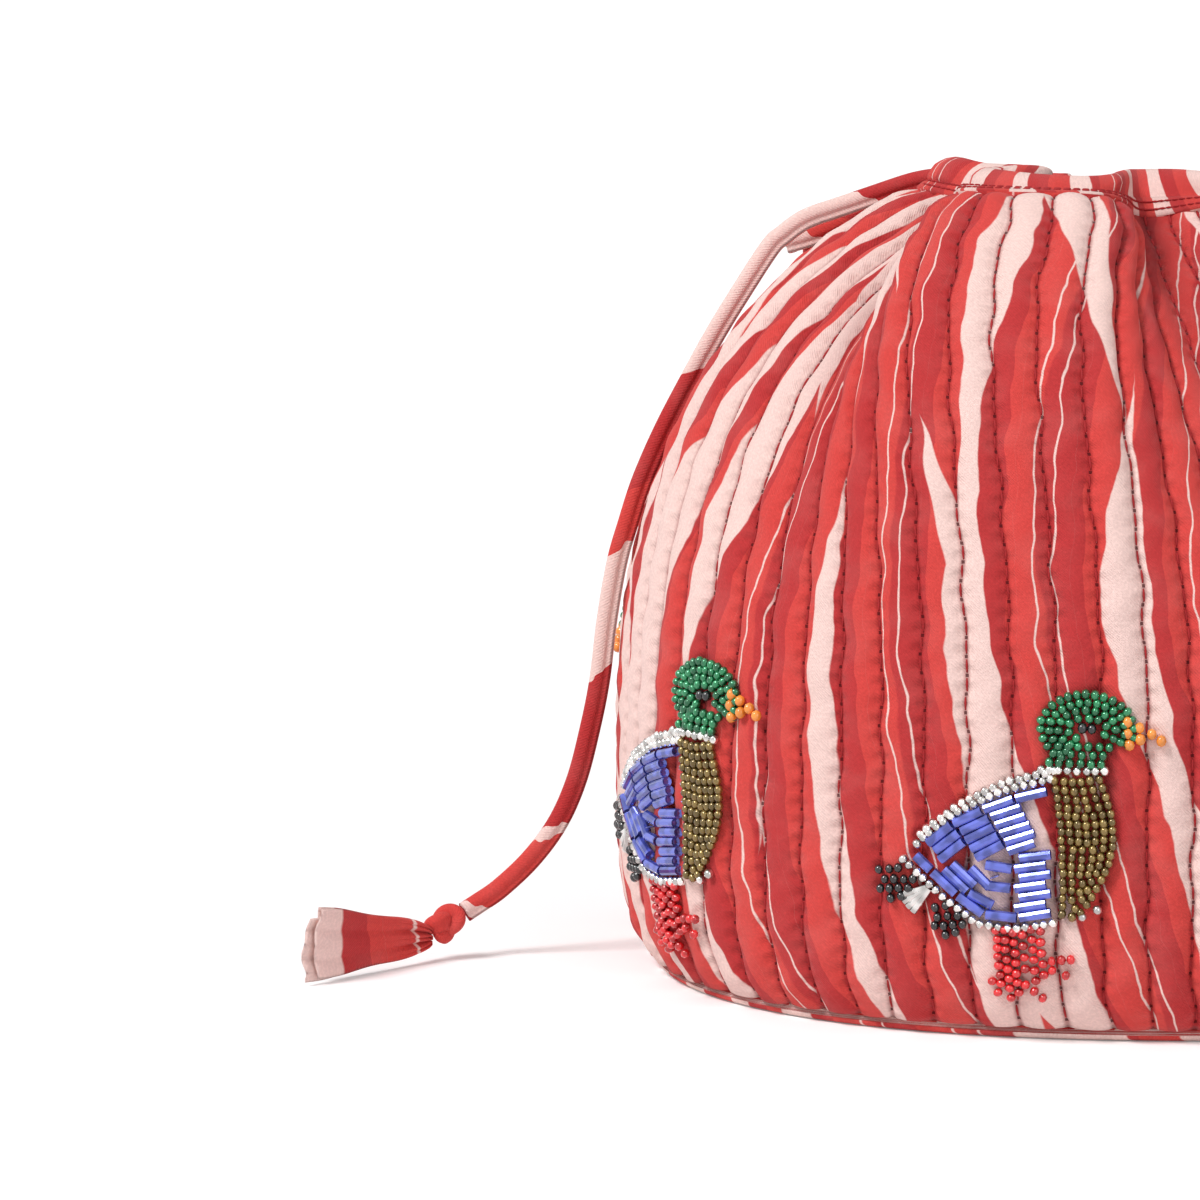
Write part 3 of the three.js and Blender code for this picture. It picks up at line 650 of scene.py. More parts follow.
def stitched_groove(nodes, cloth, colour, height):
    """Puckers beside each stitch line, and painted shade: in the groove along each stitch line, in the
    needle holes where the thread goes in, and in the creases of the folds.
    """
    sizes = bpy.context.scene.pouch_sizes
    split = nodes.node("ShaderNodeSeparateXYZ")
    nodes.link(cloth, split.inputs[0])
    across = nodes.math("DIVIDE", split.outputs[0], CHANNEL_WIDTH * MM)
    counted = nodes.math("ADD", across, BACK_SEAM % 1 + 0.5)
    off_line = nodes.math("ABSOLUTE", nodes.math("SUBTRACT", nodes.math("FRACT", counted), 0.5))
    along = nodes.math("FRACT", nodes.math("DIVIDE", split.outputs[1], sizes.stitch_pitch))
    end = nodes.math("ABSOLUTE", nodes.math("SUBTRACT", along, 0.5))
    at_end = nodes.math("LESS_THAN", end, 0.09)
    # Painted shade in the needle holes: near-black dots at the stitch ends on each line.
    needle_hole_shade = nodes.math("MULTIPLY", at_end, nodes.math("LESS_THAN", off_line, 0.035))
    # Painted shade in the groove along each stitch line: the cloth there is darkened towards a dark thread
    # red.
    groove_shade_mask = nodes.math("SUBTRACT", 1.0, nodes.ramp(off_line, 0.015, 0.11))
    shadow = opaque(0.6 * c for c in bpy.context.scene.pouch_colours.thread)
    groove_shaded = nodes.mix(nodes.math("MULTIPLY", groove_shade_mask, 0.55), colour, shadow)
    hole_shaded = nodes.mix(nodes.math("MULTIPLY", needle_hole_shade, 0.8), groove_shaded, (0.05, 0.0, 0.002, 1.0))
    pucker = nodes.math("MULTIPLY", nodes.math("SINE", nodes.math("MULTIPLY", along, 2 * math.pi)),
                        nodes.math("SUBTRACT", 1.0, nodes.ramp(off_line, 0.05, 0.34)))
    raised = nodes.math("ADD", height, nodes.math("MULTIPLY", pucker, 2.2))
    # Painted shade in the creases of the folds: the colour darkens where the folds close in.
    crease_shade = nodes.node("ShaderNodeAttribute", attribute_name="crease_shade").outputs["Fac"]
    crease_shade_mix = nodes.math("MULTIPLY", nodes.ramp(crease_shade, 0.1, 0.75), 0.6)
    return nodes.mix(crease_shade_mix, hole_shaded, (0.16, 0.008, 0.012, 1.0)), raised


def bead_glass(name, colour, *, roughness=0.12, metallic=0.3, coat=0.8, vary=0.35):
    """Small shiny beads whose tone changes a little from bead to bead."""
    material, nodes, shader = plain_material(name, roughness, metallic)
    shader.inputs["Coat Weight"].default_value = coat
    shader.inputs["Coat Roughness"].default_value = 0.05
    place = nodes.node("ShaderNodeTexCoord").outputs["Object"]
    patch = nodes.noise(place, 420.0, 0.0)
    dark = opaque(c * (1 - vary) for c in colour)
    light = opaque(min(1.0, c * (1 + vary) + 0.02 * vary) for c in colour)
    nodes.link(nodes.mix(nodes.ramp(patch, 0.35, 0.65), dark, light), shader.inputs["Base Color"])
    return material


def thread_material(name, colour):
    material, nodes, shader = plain_material(name, 0.75)
    place = nodes.node("ShaderNodeTexCoord").outputs["Object"]
    twist = nodes.noise(place, 2500.0, 1.0)
    dark = opaque(0.55 * c for c in colour)
    nodes.link(nodes.mix(twist, dark, opaque(colour)), shader.inputs["Base Color"])
    return material


# The quilted cloth


def wall_rows():
    """The wall's places and print coordinates: up the outer side, over the top and down the inner."""
    per_channel, outer_rows, inner_rows = 8, 118, 24
    stitch = BACK_SEAM + np.arange(CHANNELS * per_channel + 1) / per_channel
    top = RIM_SHARE + UNDER_CASING_RISE / WALL_ARC
    places, uvs, crease_shades = [], [], []
    puff = bpy.context.scene.pouch_sizes.channel_puff / MM
    part = stitch - np.floor(stitch)
    hump = np.sin(np.pi * part) ** CHANNEL_FULLNESS
    turn = 2 * np.pi * stitch / CHANNELS
    across = (stitch - BACK_SEAM) * CHANNEL_WIDTH * MM
    for share in np.linspace(0, top, outer_rows):
        shares = np.full_like(stitch, share)
        edge = 0.5 + 0.5 * smooth(min(share, max(0, RIM_SHARE - share)) * WALL_ARC / EDGE_FADE)
        crumple = 1 + 0.10 * np.sin(34 * turn + 83 * share) + 0.08 * np.sin(53 * turn - 131 * share)
        lift = puff * edge * hump * CLOTH.open_room(stitch, shares) * crumple
        lift = lift - UNDER_CASING_SINK * smooth((share - RIM_SHARE + 0.004) * WALL_ARC / 1.2)
        places.append(CLOTH.point(stitch + wander(stitch, share), shares, lift))
        uvs.append(np.column_stack([across, np.full_like(across, share * WALL_ARC * MM)]))
        # How closed in by folds each place is, for the painted shade in the creases.
        crease_shades.append(1 - CLOTH.open_room(stitch, shares))
    for share in np.linspace(top, 0, inner_rows):
        shares = np.full_like(stitch, share)
        full = WALL_THICKNESS if share < RIM_SHARE - 0.02 else SEAM_THICKNESS - 0.4
        places.append(CLOTH.point(stitch, shares, CLOTH.inside(stitch, shares, full)))
        printed_at = (INNER_CLOTH_START - share * WALL_ARC) * MM
        uvs.append(np.column_stack([across, np.full_like(across, printed_at)]))
        # The inner side gets an even painted shade.
        crease_shades.append(np.full_like(stitch, INNER_CREASE_SHADE))
    places.append(places[0])
    uvs.append(uvs[-1] + [0, 0.003])
    crease_shades.append(crease_shades[0])
    return np.array(places), np.array(uvs), np.array(crease_shades)


class POUCH_OT_side_wall(bpy.types.Operator):
    """Build the gathered, quilted side wall"""

    bl_idname = "pouch.side_wall"
    bl_label = "Side wall"

    def execute(self, context):
        places, uvs, crease_shades = wall_rows()
        bm = finish_shell(bent_grid(places, uvs, round_up=True, crease_shades=crease_shades))
        wall = new_piece("quilted_side_wall", bm, cotton("quilted_cotton", quilted=True))
        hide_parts("side_wall")
        return {"FINISHED"}


def stitch_matrix(place, along, normal, scales):
    """Lays a small shape on the cloth: its X along a direction and its Z away from the cloth."""
    along = Vector(along).normalized()
    normal = Vector(normal)
    side = normal.cross(along).normalized()
    normal = along.cross(side)
    turn = Matrix((along, side, normal)).transposed().to_4x4()
    return Matrix.Translation(Vector(place) * MM) @ turn @ Matrix.Diagonal((*scales, 1.0))


def sew(stitches, shares, along_cloth, outward, length, radius):
    """Thread stitches at places on the cloth, each along a direction in stitch and share."""
    step = 0.5 * length / 3
    ahead = CLOTH.point(stitches + along_cloth[0] * step, shares + along_cloth[1] * step, outward)
    behind = CLOTH.point(stitches - along_cloth[0] * step, shares - along_cloth[1] * step, outward)
    normals = CLOTH.read(CLOTH.normals, stitches, shares)
    scales = (length / 2 * MM, radius * MM, radius * MM)
    bm = bmesh.new()
    shape = small_shape("stitch", ball(6, 4))
    for a, b, normal in zip(ahead, behind, normals):
        stamp(bm, shape, stitch_matrix((a + b) / 2, a - b, normal, scales))
    bpy.data.meshes.remove(shape)
    return bm


def quilting_lines(pitch, radius):
    """The stitches of every quilting line, from the base seam up to the casing."""
    shares = np.arange(1, int(RIM_SHARE * WALL_ARC / pitch) + 1) * pitch / WALL_ARC
    shares = shares[shares < RIM_SHARE - 0.002]
    up, outward = (0, 1 / WALL_ARC), 0.1 + 0.2 * radius
    lines = []
    for line in range(CHANNELS):
        stitches = line + wander(np.full_like(shares, line), shares)
        lines.append(sew(stitches, shares, up, outward, STITCH_SHARE * pitch, radius))
    return join_meshes(lines)


def ridge_lines(radius):
    """Two rows of stitches along the casing's ridge, sewn in short runs."""
    first, last, run, gap = CASING_FIRST + 0.7, CASING_LAST - 0.7, 8, 0.1
    onward = (1 / CHANNEL_WIDTH, 0)
    rows = []
    for up in RIDGE_ROWS:
        for start in np.arange(first, last, run):
            stitches = np.arange(start, min(start + run - gap, last), RIDGE_STITCH_PITCH / CHANNEL_WIDTH)
            shares = np.full_like(stitches, casing_share(up))
            outward = RIDGE_PROUD * CLOTH.open_room(stitches, shares) + 0.1
            rows.append(sew(stitches, shares, onward, outward, RIDGE_STITCH_LENGTH, radius))
    return join_meshes(rows)


class POUCH_OT_stitching(bpy.types.Operator):
    """Sew the quilting lines and the casing's rows of stitches"""

    bl_idname = "pouch.stitching"
    bl_label = "Stitching"

    def execute(self, context):
        sizes = context.scene.pouch_sizes
        thread = thread_material("red_thread", context.scene.pouch_colours.thread)
        pitch, radius = sizes.stitch_pitch / MM, sizes.thread_radius / MM
        quilting = new_piece("quilting_stitches", quilting_lines(pitch, radius), thread)
        ridge = new_piece("casing_stitches", ridge_lines(0.8 * radius), thread)
        return {"FINISHED"}


def base_rows(edge, outward):
    """The base's places, from its middle below round its edge to its middle on top.

    The second value is how many of their rows belong to the lower cloth.
    """
    def level(share, z):
        return np.column_stack([edge * share, np.full(len(edge), z)])

    rows = [level(share, 0.0) for share in (0.0, 0.55, 0.96)]
    for angle in np.linspace(0, np.pi / 2, 6):
        inset = BASE_EDGE * (1 - math.sin(angle))
        z = BASE_EDGE * 0.6 * (1 - math.cos(angle))
        rows.append(np.column_stack([edge - inset * outward, np.full(len(edge), z)]))
    top = [level(1.0, BASE_THICKNESS - 0.4)] + [level(share, BASE_THICKNESS) for share in (0.995, 0.5, 0.0)]
    return np.array(rows + top), len(rows)


class POUCH_OT_base(bpy.types.Operator):
    """Build the flat oval base"""

    bl_idname = "pouch.base"
    bl_label = "Base"

    def execute(self, context):
        stitch = np.arange(0, CHANNELS + 0.001, 0.25)
        seam = CLOTH.point(stitch, np.zeros_like(stitch))
        flat = seam[:, :2]
        outward = flat / np.linalg.norm(flat, axis=1, keepdims=True)
        edge = flat - BASE_TUCK * outward
        places, below = base_rows(edge, outward)
        uvs = places[:, :, :2] * MM + [0.2, 0.2]
        uvs[below:, :, 1] += 0.2
        bm = bent_grid(places, uvs)
        bmesh.ops.remove_doubles(bm, verts=bm.verts, dist=1e-6)
        base = new_piece("quilted_base", finish_shell(bm), cotton("base_cotton", turn=0.4))
        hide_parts("base_panel")
        return {"FINISHED"}


# The casing


def casing_share(up):
    """The height share of a place on the casing, from its lower seam upwards."""
    return RIM_SHARE + (1 - RIM_SHARE) * (up / CASING_WIDTH)


def bend_between(a, b, c, d, f):
    """Places on the smooth line from b to c, with a before it and d after it."""
    return 0.5 * (2 * b + (c - a) * f + (2 * a - 5 * b + 4 * c - d) * f**2
                  + (3 * b - a - 3 * c + d) * f**3)


def closed_spline(points, count):
    """A smooth closed line through a few points."""
    points = np.asarray(points, float)
    t = np.arange(count) / count * len(points)
    i, f = np.floor(t).astype(int), (t - np.floor(t))[:, None]
    return bend_between(*(points[(i + k) % len(points)] for k in (-1, 0, 1, 2)), f)


def casing_section(stitch, swell, count):
    """The casing cut across: its stitched ridge, its puffed roll and its side towards the opening."""
    room = float(CLOTH.open_room(stitch, 1.0))
    half = CASING_WIDTH / 2
    wrinkle = 0.25 * math.sin(2.3 * stitch) + 0.2 * math.sin(5.1 * stitch + 1)
    outline = [
        (-0.3, RIDGE_PROUD * room - 0.5),
        (0.5, RIDGE_PROUD * room),
        (RIDGE_HEIGHT - 0.4, RIDGE_PROUD * room),
        (RIDGE_HEIGHT + 0.3, 0.55 * RIDGE_PROUD * room),
        (RIDGE_HEIGHT + 0.9, 0.5 * room + swell),
        (half + 1.2, (CASING_PUFF + wrinkle) * room + swell),
        (CASING_WIDTH - 0.6, 0.6 * room + swell),
        (CASING_WIDTH, float(CLOTH.inside(stitch, 1.0, CASING_THICKNESS / 2))),
        (half + 2, float(CLOTH.inside(stitch, casing_share(half + 2), CASING_THICKNESS)) - 0.3 * swell),
        (half - 2, float(CLOTH.inside(stitch, casing_share(half - 2), CASING_THICKNESS)) - 0.3 * swell),
        (0, float(CLOTH.inside(stitch, RIM_SHARE, SEAM_THICKNESS))),
    ]
    line = closed_spline(outline, count)
    return CLOTH.point(np.full(count, stitch), casing_share(line[:, 0]), line[:, 1])


def mouth_section(stitch, count, radius):
    """One ring of the round pocket that a tail comes out of."""
    angle = np.pi * (1 - 2 * np.arange(count) / count)
    up = CASING_WIDTH / 2 + 0.4 + radius * np.cos(angle)
    out = CASING_PUFF + MOUTH_SWELL - MOUTH_LIP - MOUTH_RADIUS + radius * np.sin(angle)
    return CLOTH.point(np.full(count, stitch), casing_share(up), out)


class POUCH_OT_casing(bpy.types.Operator):
    """Build the casing round the rim, open at both ends for the cord"""

    bl_idname = "pouch.casing"
    bl_label = "Casing"

    def execute(self, context):
        count = 32
        pocket = MOUTH_DEPTH / CHANNEL_WIDTH
        mouth = ((pocket, 0.0), (pocket, 0.8 * MOUTH_RADIUS), (pocket / 2, MOUTH_RADIUS),
                 (0.06, MOUTH_RADIUS))
        columns, stations = [], []
        for back, radius in mouth:
            columns.append(mouth_section(CASING_FIRST + back, count, radius))
            stations.append(CASING_FIRST + back)
        for stitch in np.linspace(CASING_FIRST, CASING_LAST, 573):
            from_end = min(stitch - CASING_FIRST, CASING_LAST - stitch)
            swell = MOUTH_SWELL * (1 - smooth((from_end - pocket) / 2))
            columns.append(casing_section(stitch, swell, count))
            stations.append(stitch)
        for back, radius in reversed(mouth):
            columns.append(mouth_section(CASING_LAST - back, count, radius))
            stations.append(CASING_LAST - back)
        places = np.array([np.vstack([c, c[:1]]) for c in columns])
        walked = np.linspace(0, 2 * (CASING_WIDTH + CASING_THICKNESS), count + 1) * MM
        round_cloth = (np.array(stations) - CASING_FIRST) * CHANNEL_WIDTH * MM
        uvs = np.dstack([np.repeat(round_cloth[:, None], count + 1, 1),
                         np.repeat(walked[None, :], len(stations), 0) + 0.05])
        bm = bent_grid(places, uvs)
        bmesh.ops.remove_doubles(bm, verts=bm.verts, dist=1e-6)
        piece = new_piece("rim_casing", finish_shell(bm), cotton("casing_cotton", shift=(0.31, 0.02, 0)))
        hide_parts("casing")
        return {"FINISHED"}


# The drawstring

# Each tail's places, and its print as the distance along it at which each colour begins
FRONT_TAIL = (
    (-55.9, 1, 173.1), (-56.4, 3, 172.7), (-57.4, 6, 172.3), (-59.6, 8.9, 171.7),
    (-62.7, 10.7, 170.8), (-66.2, 11.4, 169.6), (-72, 11.4, 167.6), (-79.4, 11, 165.1),
    (-83.8, 10.5, 163.7), (-87.1, 10, 162.2), (-90.9, 9.5, 159.4), (-93.7, 8.5, 156.9),
    (-99.9, 6, 147.7), (-105.7, 3, 138.6), (-111.4, 0, 128.6), (-117.1, -3, 118),
    (-121.9, -5, 107.2), (-124.9, -6, 98), (-127.4, -6, 89.1), (-129.6, -6, 76.2),
    (-131.2, -6, 62.8), (-133.4, -5.5, 51.5), (-136.3, -5, 40.2), (-140.4, -4.5, 30.6),
    (-146.2, -4, 22.4), (-153.2, -4, 15.6), (-158.3, -4.5, 12.1), (-161, -6, 10.6),
)
BACK_TAIL = (
    (-50.6, 23.4, 166), (-51.1, 21.2, 166), (-52.5, 18.2, 166.4), (-55.4, 16.2, 167.1),
    (-59, 15.6, 167.6), (-63.5, 16.2, 167.4), (-68, 17, 165.6), (-73.3, 17.6, 163.1),
    (-78.5, 17.4, 160.4), (-83.5, 17.8, 158.4), (-87.3, 19.8, 157), (-89.3, 23.3, 156),
    (-88.8, 27.5, 155.4), (-86.8, 31.6, 155.6), (-85.2, 36, 155), (-84.4, 40.3, 151.7),
    (-85.2, 43.4, 146.4), (-88.6, 46.6, 138.9), (-92.8, 49.2, 131.1), (-95.3, 53.1, 122.4),
    (-95.8, 58.3, 113.4), (-95.6, 64.5, 104), (-92.9, 70.8, 94.1), (-90.4, 74.8, 84),
    (-89.3, 77.1, 73.8), (-88.9, 79.3, 63.6), (-89.8, 80.6, 55.5),
)
FRONT_PRINT = (
    (0, "dark"), (27, "pink"), (84, "dark"), (112, "red"), (126, "pink"), (154, "dark"), (190, "pink"),
    (194, "red"), (216, "pink"), (221, "dark"), (300, "red"),
)
BACK_PRINT = (
    (0, "dark"), (36, "red"), (44, "pink"), (60, "dark"), (110, "pink"), (135, "red"), (300, "dark"),
)


def smooth_route(points, count):
    """Evenly spaced places on one smooth line through a cord's route points."""
    p = np.asarray(points, float)
    p = np.vstack([2 * p[0] - p[1], p, 2 * p[-1] - p[-2]])
    dense = []
    for i in range(1, len(p) - 2):
        f = np.linspace(0, 1, 24, endpoint=False)[:, None]
        dense.append(bend_between(p[i - 1], p[i], p[i + 1], p[i + 2], f))
    line = np.vstack(dense + [p[-2][None]])
    arc = np.concatenate([[0], np.cumsum(np.linalg.norm(np.diff(line, axis=0), axis=1))])
    even = np.linspace(0, arc[-1], count)
    return np.column_stack([np.interp(even, arc, line[:, k]) for k in range(3)]), arc[-1]


def strip_section(width, count):
    """A folded strip across: a round fold on one side and a flat stitched flange on the other."""
    half = width / 2
    outline = [
        (-half, 0), (-half * 0.8, 0.9), (-half * 0.25, 1.25), (half * 0.2, 0.95), (half * 0.36, 0.55),
        (half * 0.9, 0.5), (half, 0), (half * 0.9, -0.5), (half * 0.3, -0.6), (-half * 0.2, -1.2),
        (-half * 0.8, -0.9),
    ]
    return closed_spline(outline, count)


def strip(line, first_side, width, count=22, closed=False):
    """Sweeps the folded strip along a line. Its broad side keeps its bearing without twisting."""
    ahead = np.gradient(line, axis=0)
    if closed:
        ahead = np.roll(line, -1, 0) - np.roll(line, 1, 0)
    ahead /= np.linalg.norm(ahead, axis=1, keepdims=True)
    side = np.array(first_side, float)
    section = strip_section(width, count)
    rings = []
    for place, heading in zip(line, ahead):
        side = side - heading * side.dot(heading)
        side /= np.linalg.norm(side)
        thin = np.cross(heading, side)
        ring = place + section[:, :1] * side + section[:, 1:] * thin
        rings.append(np.vstack([ring, ring[:1]]))
    return np.array(rings)


def strip_uvs(rings, length, width, start=0.0):
    """The strip's print coordinates: round it and along it."""
    rows, columns = rings.shape[:2]
    across = np.linspace(0, 2.2 * width * MM, columns)
    along = start + np.linspace(0, length * MM, rows)
    return np.dstack([np.repeat(across[None, :], rows, 0), np.repeat(along[:, None], columns, 1)])


def cord_cotton(name, stops):
    """Print on a strip cut on the slant: long patches of each colour with slanting ends."""
    material, nodes, shader = cloth_material(name)
    colours = bpy.context.scene.pouch_colours
    cloth = cloth_coordinates(nodes)
    split = nodes.node("ShaderNodeSeparateXYZ")
    nodes.link(cloth, split.inputs[0])
    wobble = nodes.math("MULTIPLY", nodes.noise(cloth, 260.0, 1.0), 0.004)
    slant = nodes.math("MULTIPLY", split.outputs[0], 1.1)
    along = nodes.math("ADD", nodes.math("ADD", split.outputs[1], slant), wobble)
    choices = {"red": colours.red, "dark": colours.dark_red, "pink": colours.pink}
    ramp = nodes.node("ShaderNodeValToRGB")
    ramp.color_ramp.interpolation = "CONSTANT"
    span = stops[-1][0]
    nodes.link(nodes.math("DIVIDE", along, span * MM), ramp.inputs["Fac"])
    elements = ramp.color_ramp.elements
    elements[0].color = opaque(choices[stops[0][1]])
    elements[1].position, elements[1].color = 1.0, opaque(choices[stops[-1][1]])
    for distance, shade in stops[1:-1]:
        elements.new(distance / span).color = opaque(choices[shade])
    _, weave = shared_groups()
    woven = use_group(nodes, weave, Cloth=cloth, Color=ramp.outputs["Color"])
    edge = nodes.math("ABSOLUTE", nodes.math("SUBTRACT", split.outputs[0], 0.0046))
    seam = nodes.math("SUBTRACT", 1.0, nodes.ramp(edge, 0.00008, 0.0004))
    tone = nodes.mix(nodes.math("MULTIPLY", seam, 0.6), woven.outputs["Color"], (0.06, 0.004, 0.005, 1))
    nodes.link(tone, shader.inputs["Base Color"])
    add_relief(nodes, shader, woven.outputs["Height"])
    return material


def rest_on(heading, facing, start):
    """Axes for a piece that runs along a heading with its thin side to a facing."""
    along = Vector(heading).normalized()
    up = along.cross(Vector(facing)).normalized()
    thin = up.cross(along)
    turn = Matrix((along, thin, up)).transposed().to_4x4()
    return Matrix.Translation(Vector(start)) @ turn


def moved(matrix, places):
    """Places turned and moved by a matrix."""
    flat = np.asarray(places, float).reshape(-1, 3)
    turn = np.array(matrix)
    return (flat @ turn[:3, :3].T + turn[:3, 3]).reshape(np.shape(places))


def build_knot(name, axes, width, material):
    """An overhand knot: the strip's own trefoil, drawn tight and a little longer than it is wide."""
    t = np.linspace(0, 2 * np.pi, 160, endpoint=False)
    x = np.sin(t) + 2 * np.sin(2 * t)
    y = np.cos(t) - 2 * np.cos(2 * t)
    z = -np.sin(3 * t)
    line = np.column_stack([KNOT_LENGTH / 2 + 1.05 * x, 0.8 * z, 0.78 * y])
    rings = moved(axes, strip(line, (0.2, 1, 0.1), 0.95 * width, 16, closed=True))
    rings = np.concatenate([rings, rings[:1]])
    bm = close_ends(bent_grid(rings, strip_uvs(rings, length=50, width=width, start=0.3)))
    return new_piece(name, bm, material)


def tassel_layer(axes, length, flare, lean, waves, offset):
    """One folded layer of the tassel as a thin cloth: gathered at the knot, wide and wavy at the end."""
    rows, columns = 40, 25
    t = np.linspace(0, 1, rows)[:, None]
    s = np.linspace(-1, 1, columns)[None, :]
    half = TASSEL_NECK_HALF + (flare - TASSEL_NECK_HALF) * t**0.55
    half = half * (1 + 0.05 * np.sin(3 * np.pi * t))
    x = length * (t + 0.02 * np.cos(np.pi * s) * t)
    z = half * s + lean * t
    gathered = 1 - smooth(t * 2.2)
    y = offset * (0.3 + 0.7 * t) + waves * np.sin(2.2 * np.pi * s + 1.3 * offset) * (0.25 + 0.75 * t)
    y = y + 1.1 * gathered * np.cos(np.pi * 2.5 * s)
    x = np.broadcast_to(x, (rows, columns))
    places = np.dstack([x, y, z])
    uvs = np.dstack([np.broadcast_to(z * MM, (rows, columns)) + 0.03 + 0.02 * offset * MM,
                     np.broadcast_to(x * MM, (rows, columns))])
    bm = bent_grid(moved(axes, places), uvs, round_across=False)
    bmesh.ops.solidify(bm, geom=bm.faces, thickness=TASSEL_CLOTH * MM)
    return bm


def build_tassel(name, axes, material):
    """Three folded layers of cloth, one over another."""
    layers = [
        tassel_layer(axes, TASSEL_LENGTH - 2, TASSEL_FLARE - 1.2, lean=0.6, waves=0.35, offset=1.5),
        tassel_layer(axes, TASSEL_LENGTH, TASSEL_FLARE - 1.8, lean=-1.0, waves=0.4, offset=0.2),
        tassel_layer(axes, TASSEL_LENGTH - 4, TASSEL_FLARE - 2.2, lean=1.4, waves=0.35, offset=-1.2),
    ]
    bm = join_meshes(layers)
    bmesh.ops.recalc_face_normals(bm, faces=bm.faces)
    return new_piece(name, bm, material)


def build_tail(side, points, colours, *, first_side, facing, knot_heading, tassel_heading):
    """One tail from the casing to its end, then the knot and the tassel that hang from it."""
    width = bpy.context.scene.pouch_sizes.strip_width / MM
    line, length = smooth_route(points, 260)
    rings = strip(line, first_side, width)
    material = cord_cotton(f"cord_cotton_{side}", colours)
    bm = close_ends(bent_grid(rings, strip_uvs(rings, length, width)))
    cord = new_piece(f"cloth_cord_{side}", bm, material)
    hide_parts(f"drawstring_{side}_tail")
    along = Vector(knot_heading).normalized()
    knot_start = Vector(points[-1]) + along * CLEARANCE
    knot = build_knot(f"cloth_knot_{side}", rest_on(knot_heading, facing, knot_start), width, material)
    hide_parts(f"knot_{side}")
    tassel_start = knot_start + along * (KNOT_LENGTH + TASSEL_GAP - TASSEL_TUCK)
    cloth = cotton(f"tassel_cotton_{side}", turn=1.2, shift=(0.045, 0.1, 0), scale=0.45)
    tassel = build_tassel(f"cloth_tassel_{side}", rest_on(tassel_heading, facing, tassel_start), cloth)
    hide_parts(f"tassel_{side}")


class POUCH_OT_drawstring(bpy.types.Operator):
    """Build the drawstring's two tails with their knots and tassels"""

    bl_idname = "pouch.drawstring"
    bl_label = "Drawstring"

    def execute(self, context):
        build_tail(
            "front", FRONT_TAIL, FRONT_PRINT, first_side=(0, 0, -1), facing=(0.67, -0.74, 0),
            knot_heading=(-0.83, -0.32, -0.46), tassel_heading=(-0.73, -0.67, 0.09),
        )
        build_tail(
            "back", BACK_TAIL, BACK_PRINT, first_side=(0, 0.3, -1), facing=(-0.53, 0.85, 0),
            knot_heading=(-0.05, 0.08, -1), tassel_heading=(0, 0, -1),
        )
        return {"FINISHED"}


# The beads


def tube_bead_shape(bm):
    """A cut glass tube along X with a dimple at each end for its hole."""
    lying = Matrix.Rotation(math.pi / 2, 4, "Y")
    bmesh.ops.create_cone(
        bm, cap_ends=True, segments=10, radius1=1, radius2=1, depth=2, matrix=lying
    )
    ends = [face for face in bm.faces if len(face.verts) > 4]
    bmesh.ops.inset_individual(bm, faces=ends, thickness=0.5, depth=-0.12)


class Beader:
    """Sews one part of a motif. Places are in millimetres on the cloth, from the motif's own foot.

    An index picks the first or the second of the part's two bead materials.
    """

    def __init__(self, motif, seed_width):
        self.motif = motif
        self.seed = seed_width
        self.bm = bmesh.new()
        self.rng = np.random.default_rng(17 + motif)
        self.seeds = [small_shape("seed_bead", ball(8, 6), index) for index in (0, 1)]
        self.tubes = [
            small_shape("tube_bead", tube_bead_shape, index, smooth_shaded=False) for index in (0, 1)
        ]

    def on_wall(self, x, y, outward):
        share = share_at_height(MOTIF_FOOT + np.asarray(y, float))
        stitch = CHANNELS * (FIRST_MOTIF + self.motif / MOTIFS) + np.asarray(x, float) / CHANNEL_WIDTH
        return CLOTH.point(stitch, share, outward), CLOTH.read(CLOTH.normals, stitch, share)

    def turned(self, x, y, heading, outward, scales):
        place, normal = self.on_wall(x, y, outward)
        ahead, _ = self.on_wall(x + 0.8 * heading[0], y + 0.8 * heading[1], outward)
        return stitch_matrix(place, ahead - place, normal, scales)

    def seed_bead(self, x, y, heading=(1, 0), index=0, size=1.0):
        radius = 0.53 * self.seed * size * self.rng.uniform(0.96, 1.05)
        jitter = self.rng.normal(0, 0.07, 2)
        scales = (0.86 * radius * MM, radius * MM, 0.94 * radius * MM)
        matrix = self.turned(x + jitter[0], y + jitter[1], heading, BEAD_BED + 0.85 * radius, scales)
        stamp(self.bm, self.seeds[index], matrix)

    def tube_bead(self, start, end, index=0, radius=1.12):
        middle = [(a + b) / 2 for a, b in zip(start, end)]
        span = math.dist(start, end)
        heading = [(b - a) / span for a, b in zip(start, end)]
        scales = (span / 2 * MM, radius * MM, radius * MM)
        stamp(self.bm, self.tubes[index], self.turned(*middle, heading, BEAD_BED + 0.95 * radius, scales))

    def string(self, route, index=0, spacing=0.88):
        """Seed beads threaded along a line, side by side."""
        route = np.asarray(route, float)
        arc = np.concatenate([[0], np.cumsum(np.linalg.norm(np.diff(route, axis=0), axis=1))])
        pitch = self.seed * spacing
        count = max(1, int(arc[-1] // pitch))
        for distance in (np.arange(count + 1) * arc[-1] / count):
            x, y = (np.interp(distance, arc, route[:, k]) for k in range(2))
            ahead = [np.interp(min(distance + 0.5, arc[-1]), arc, route[:, k]) for k in range(2)]
            behind = [np.interp(max(distance - 0.5, 0), arc, route[:, k]) for k in range(2)]
            heading = np.subtract(ahead, behind)
            self.seed_bead(x, y, heading / max(np.linalg.norm(heading), 1e-6), index)

    def piece(self, part, materials, slot):
        node = f"duck_{self.motif + 1}_{part}"
        for shape in self.seeds + self.tubes:
            bpy.data.meshes.remove(shape)
        made = new_piece(f"beaded_{node}", self.bm, materials, smooth_shaded=False)
        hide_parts(node)


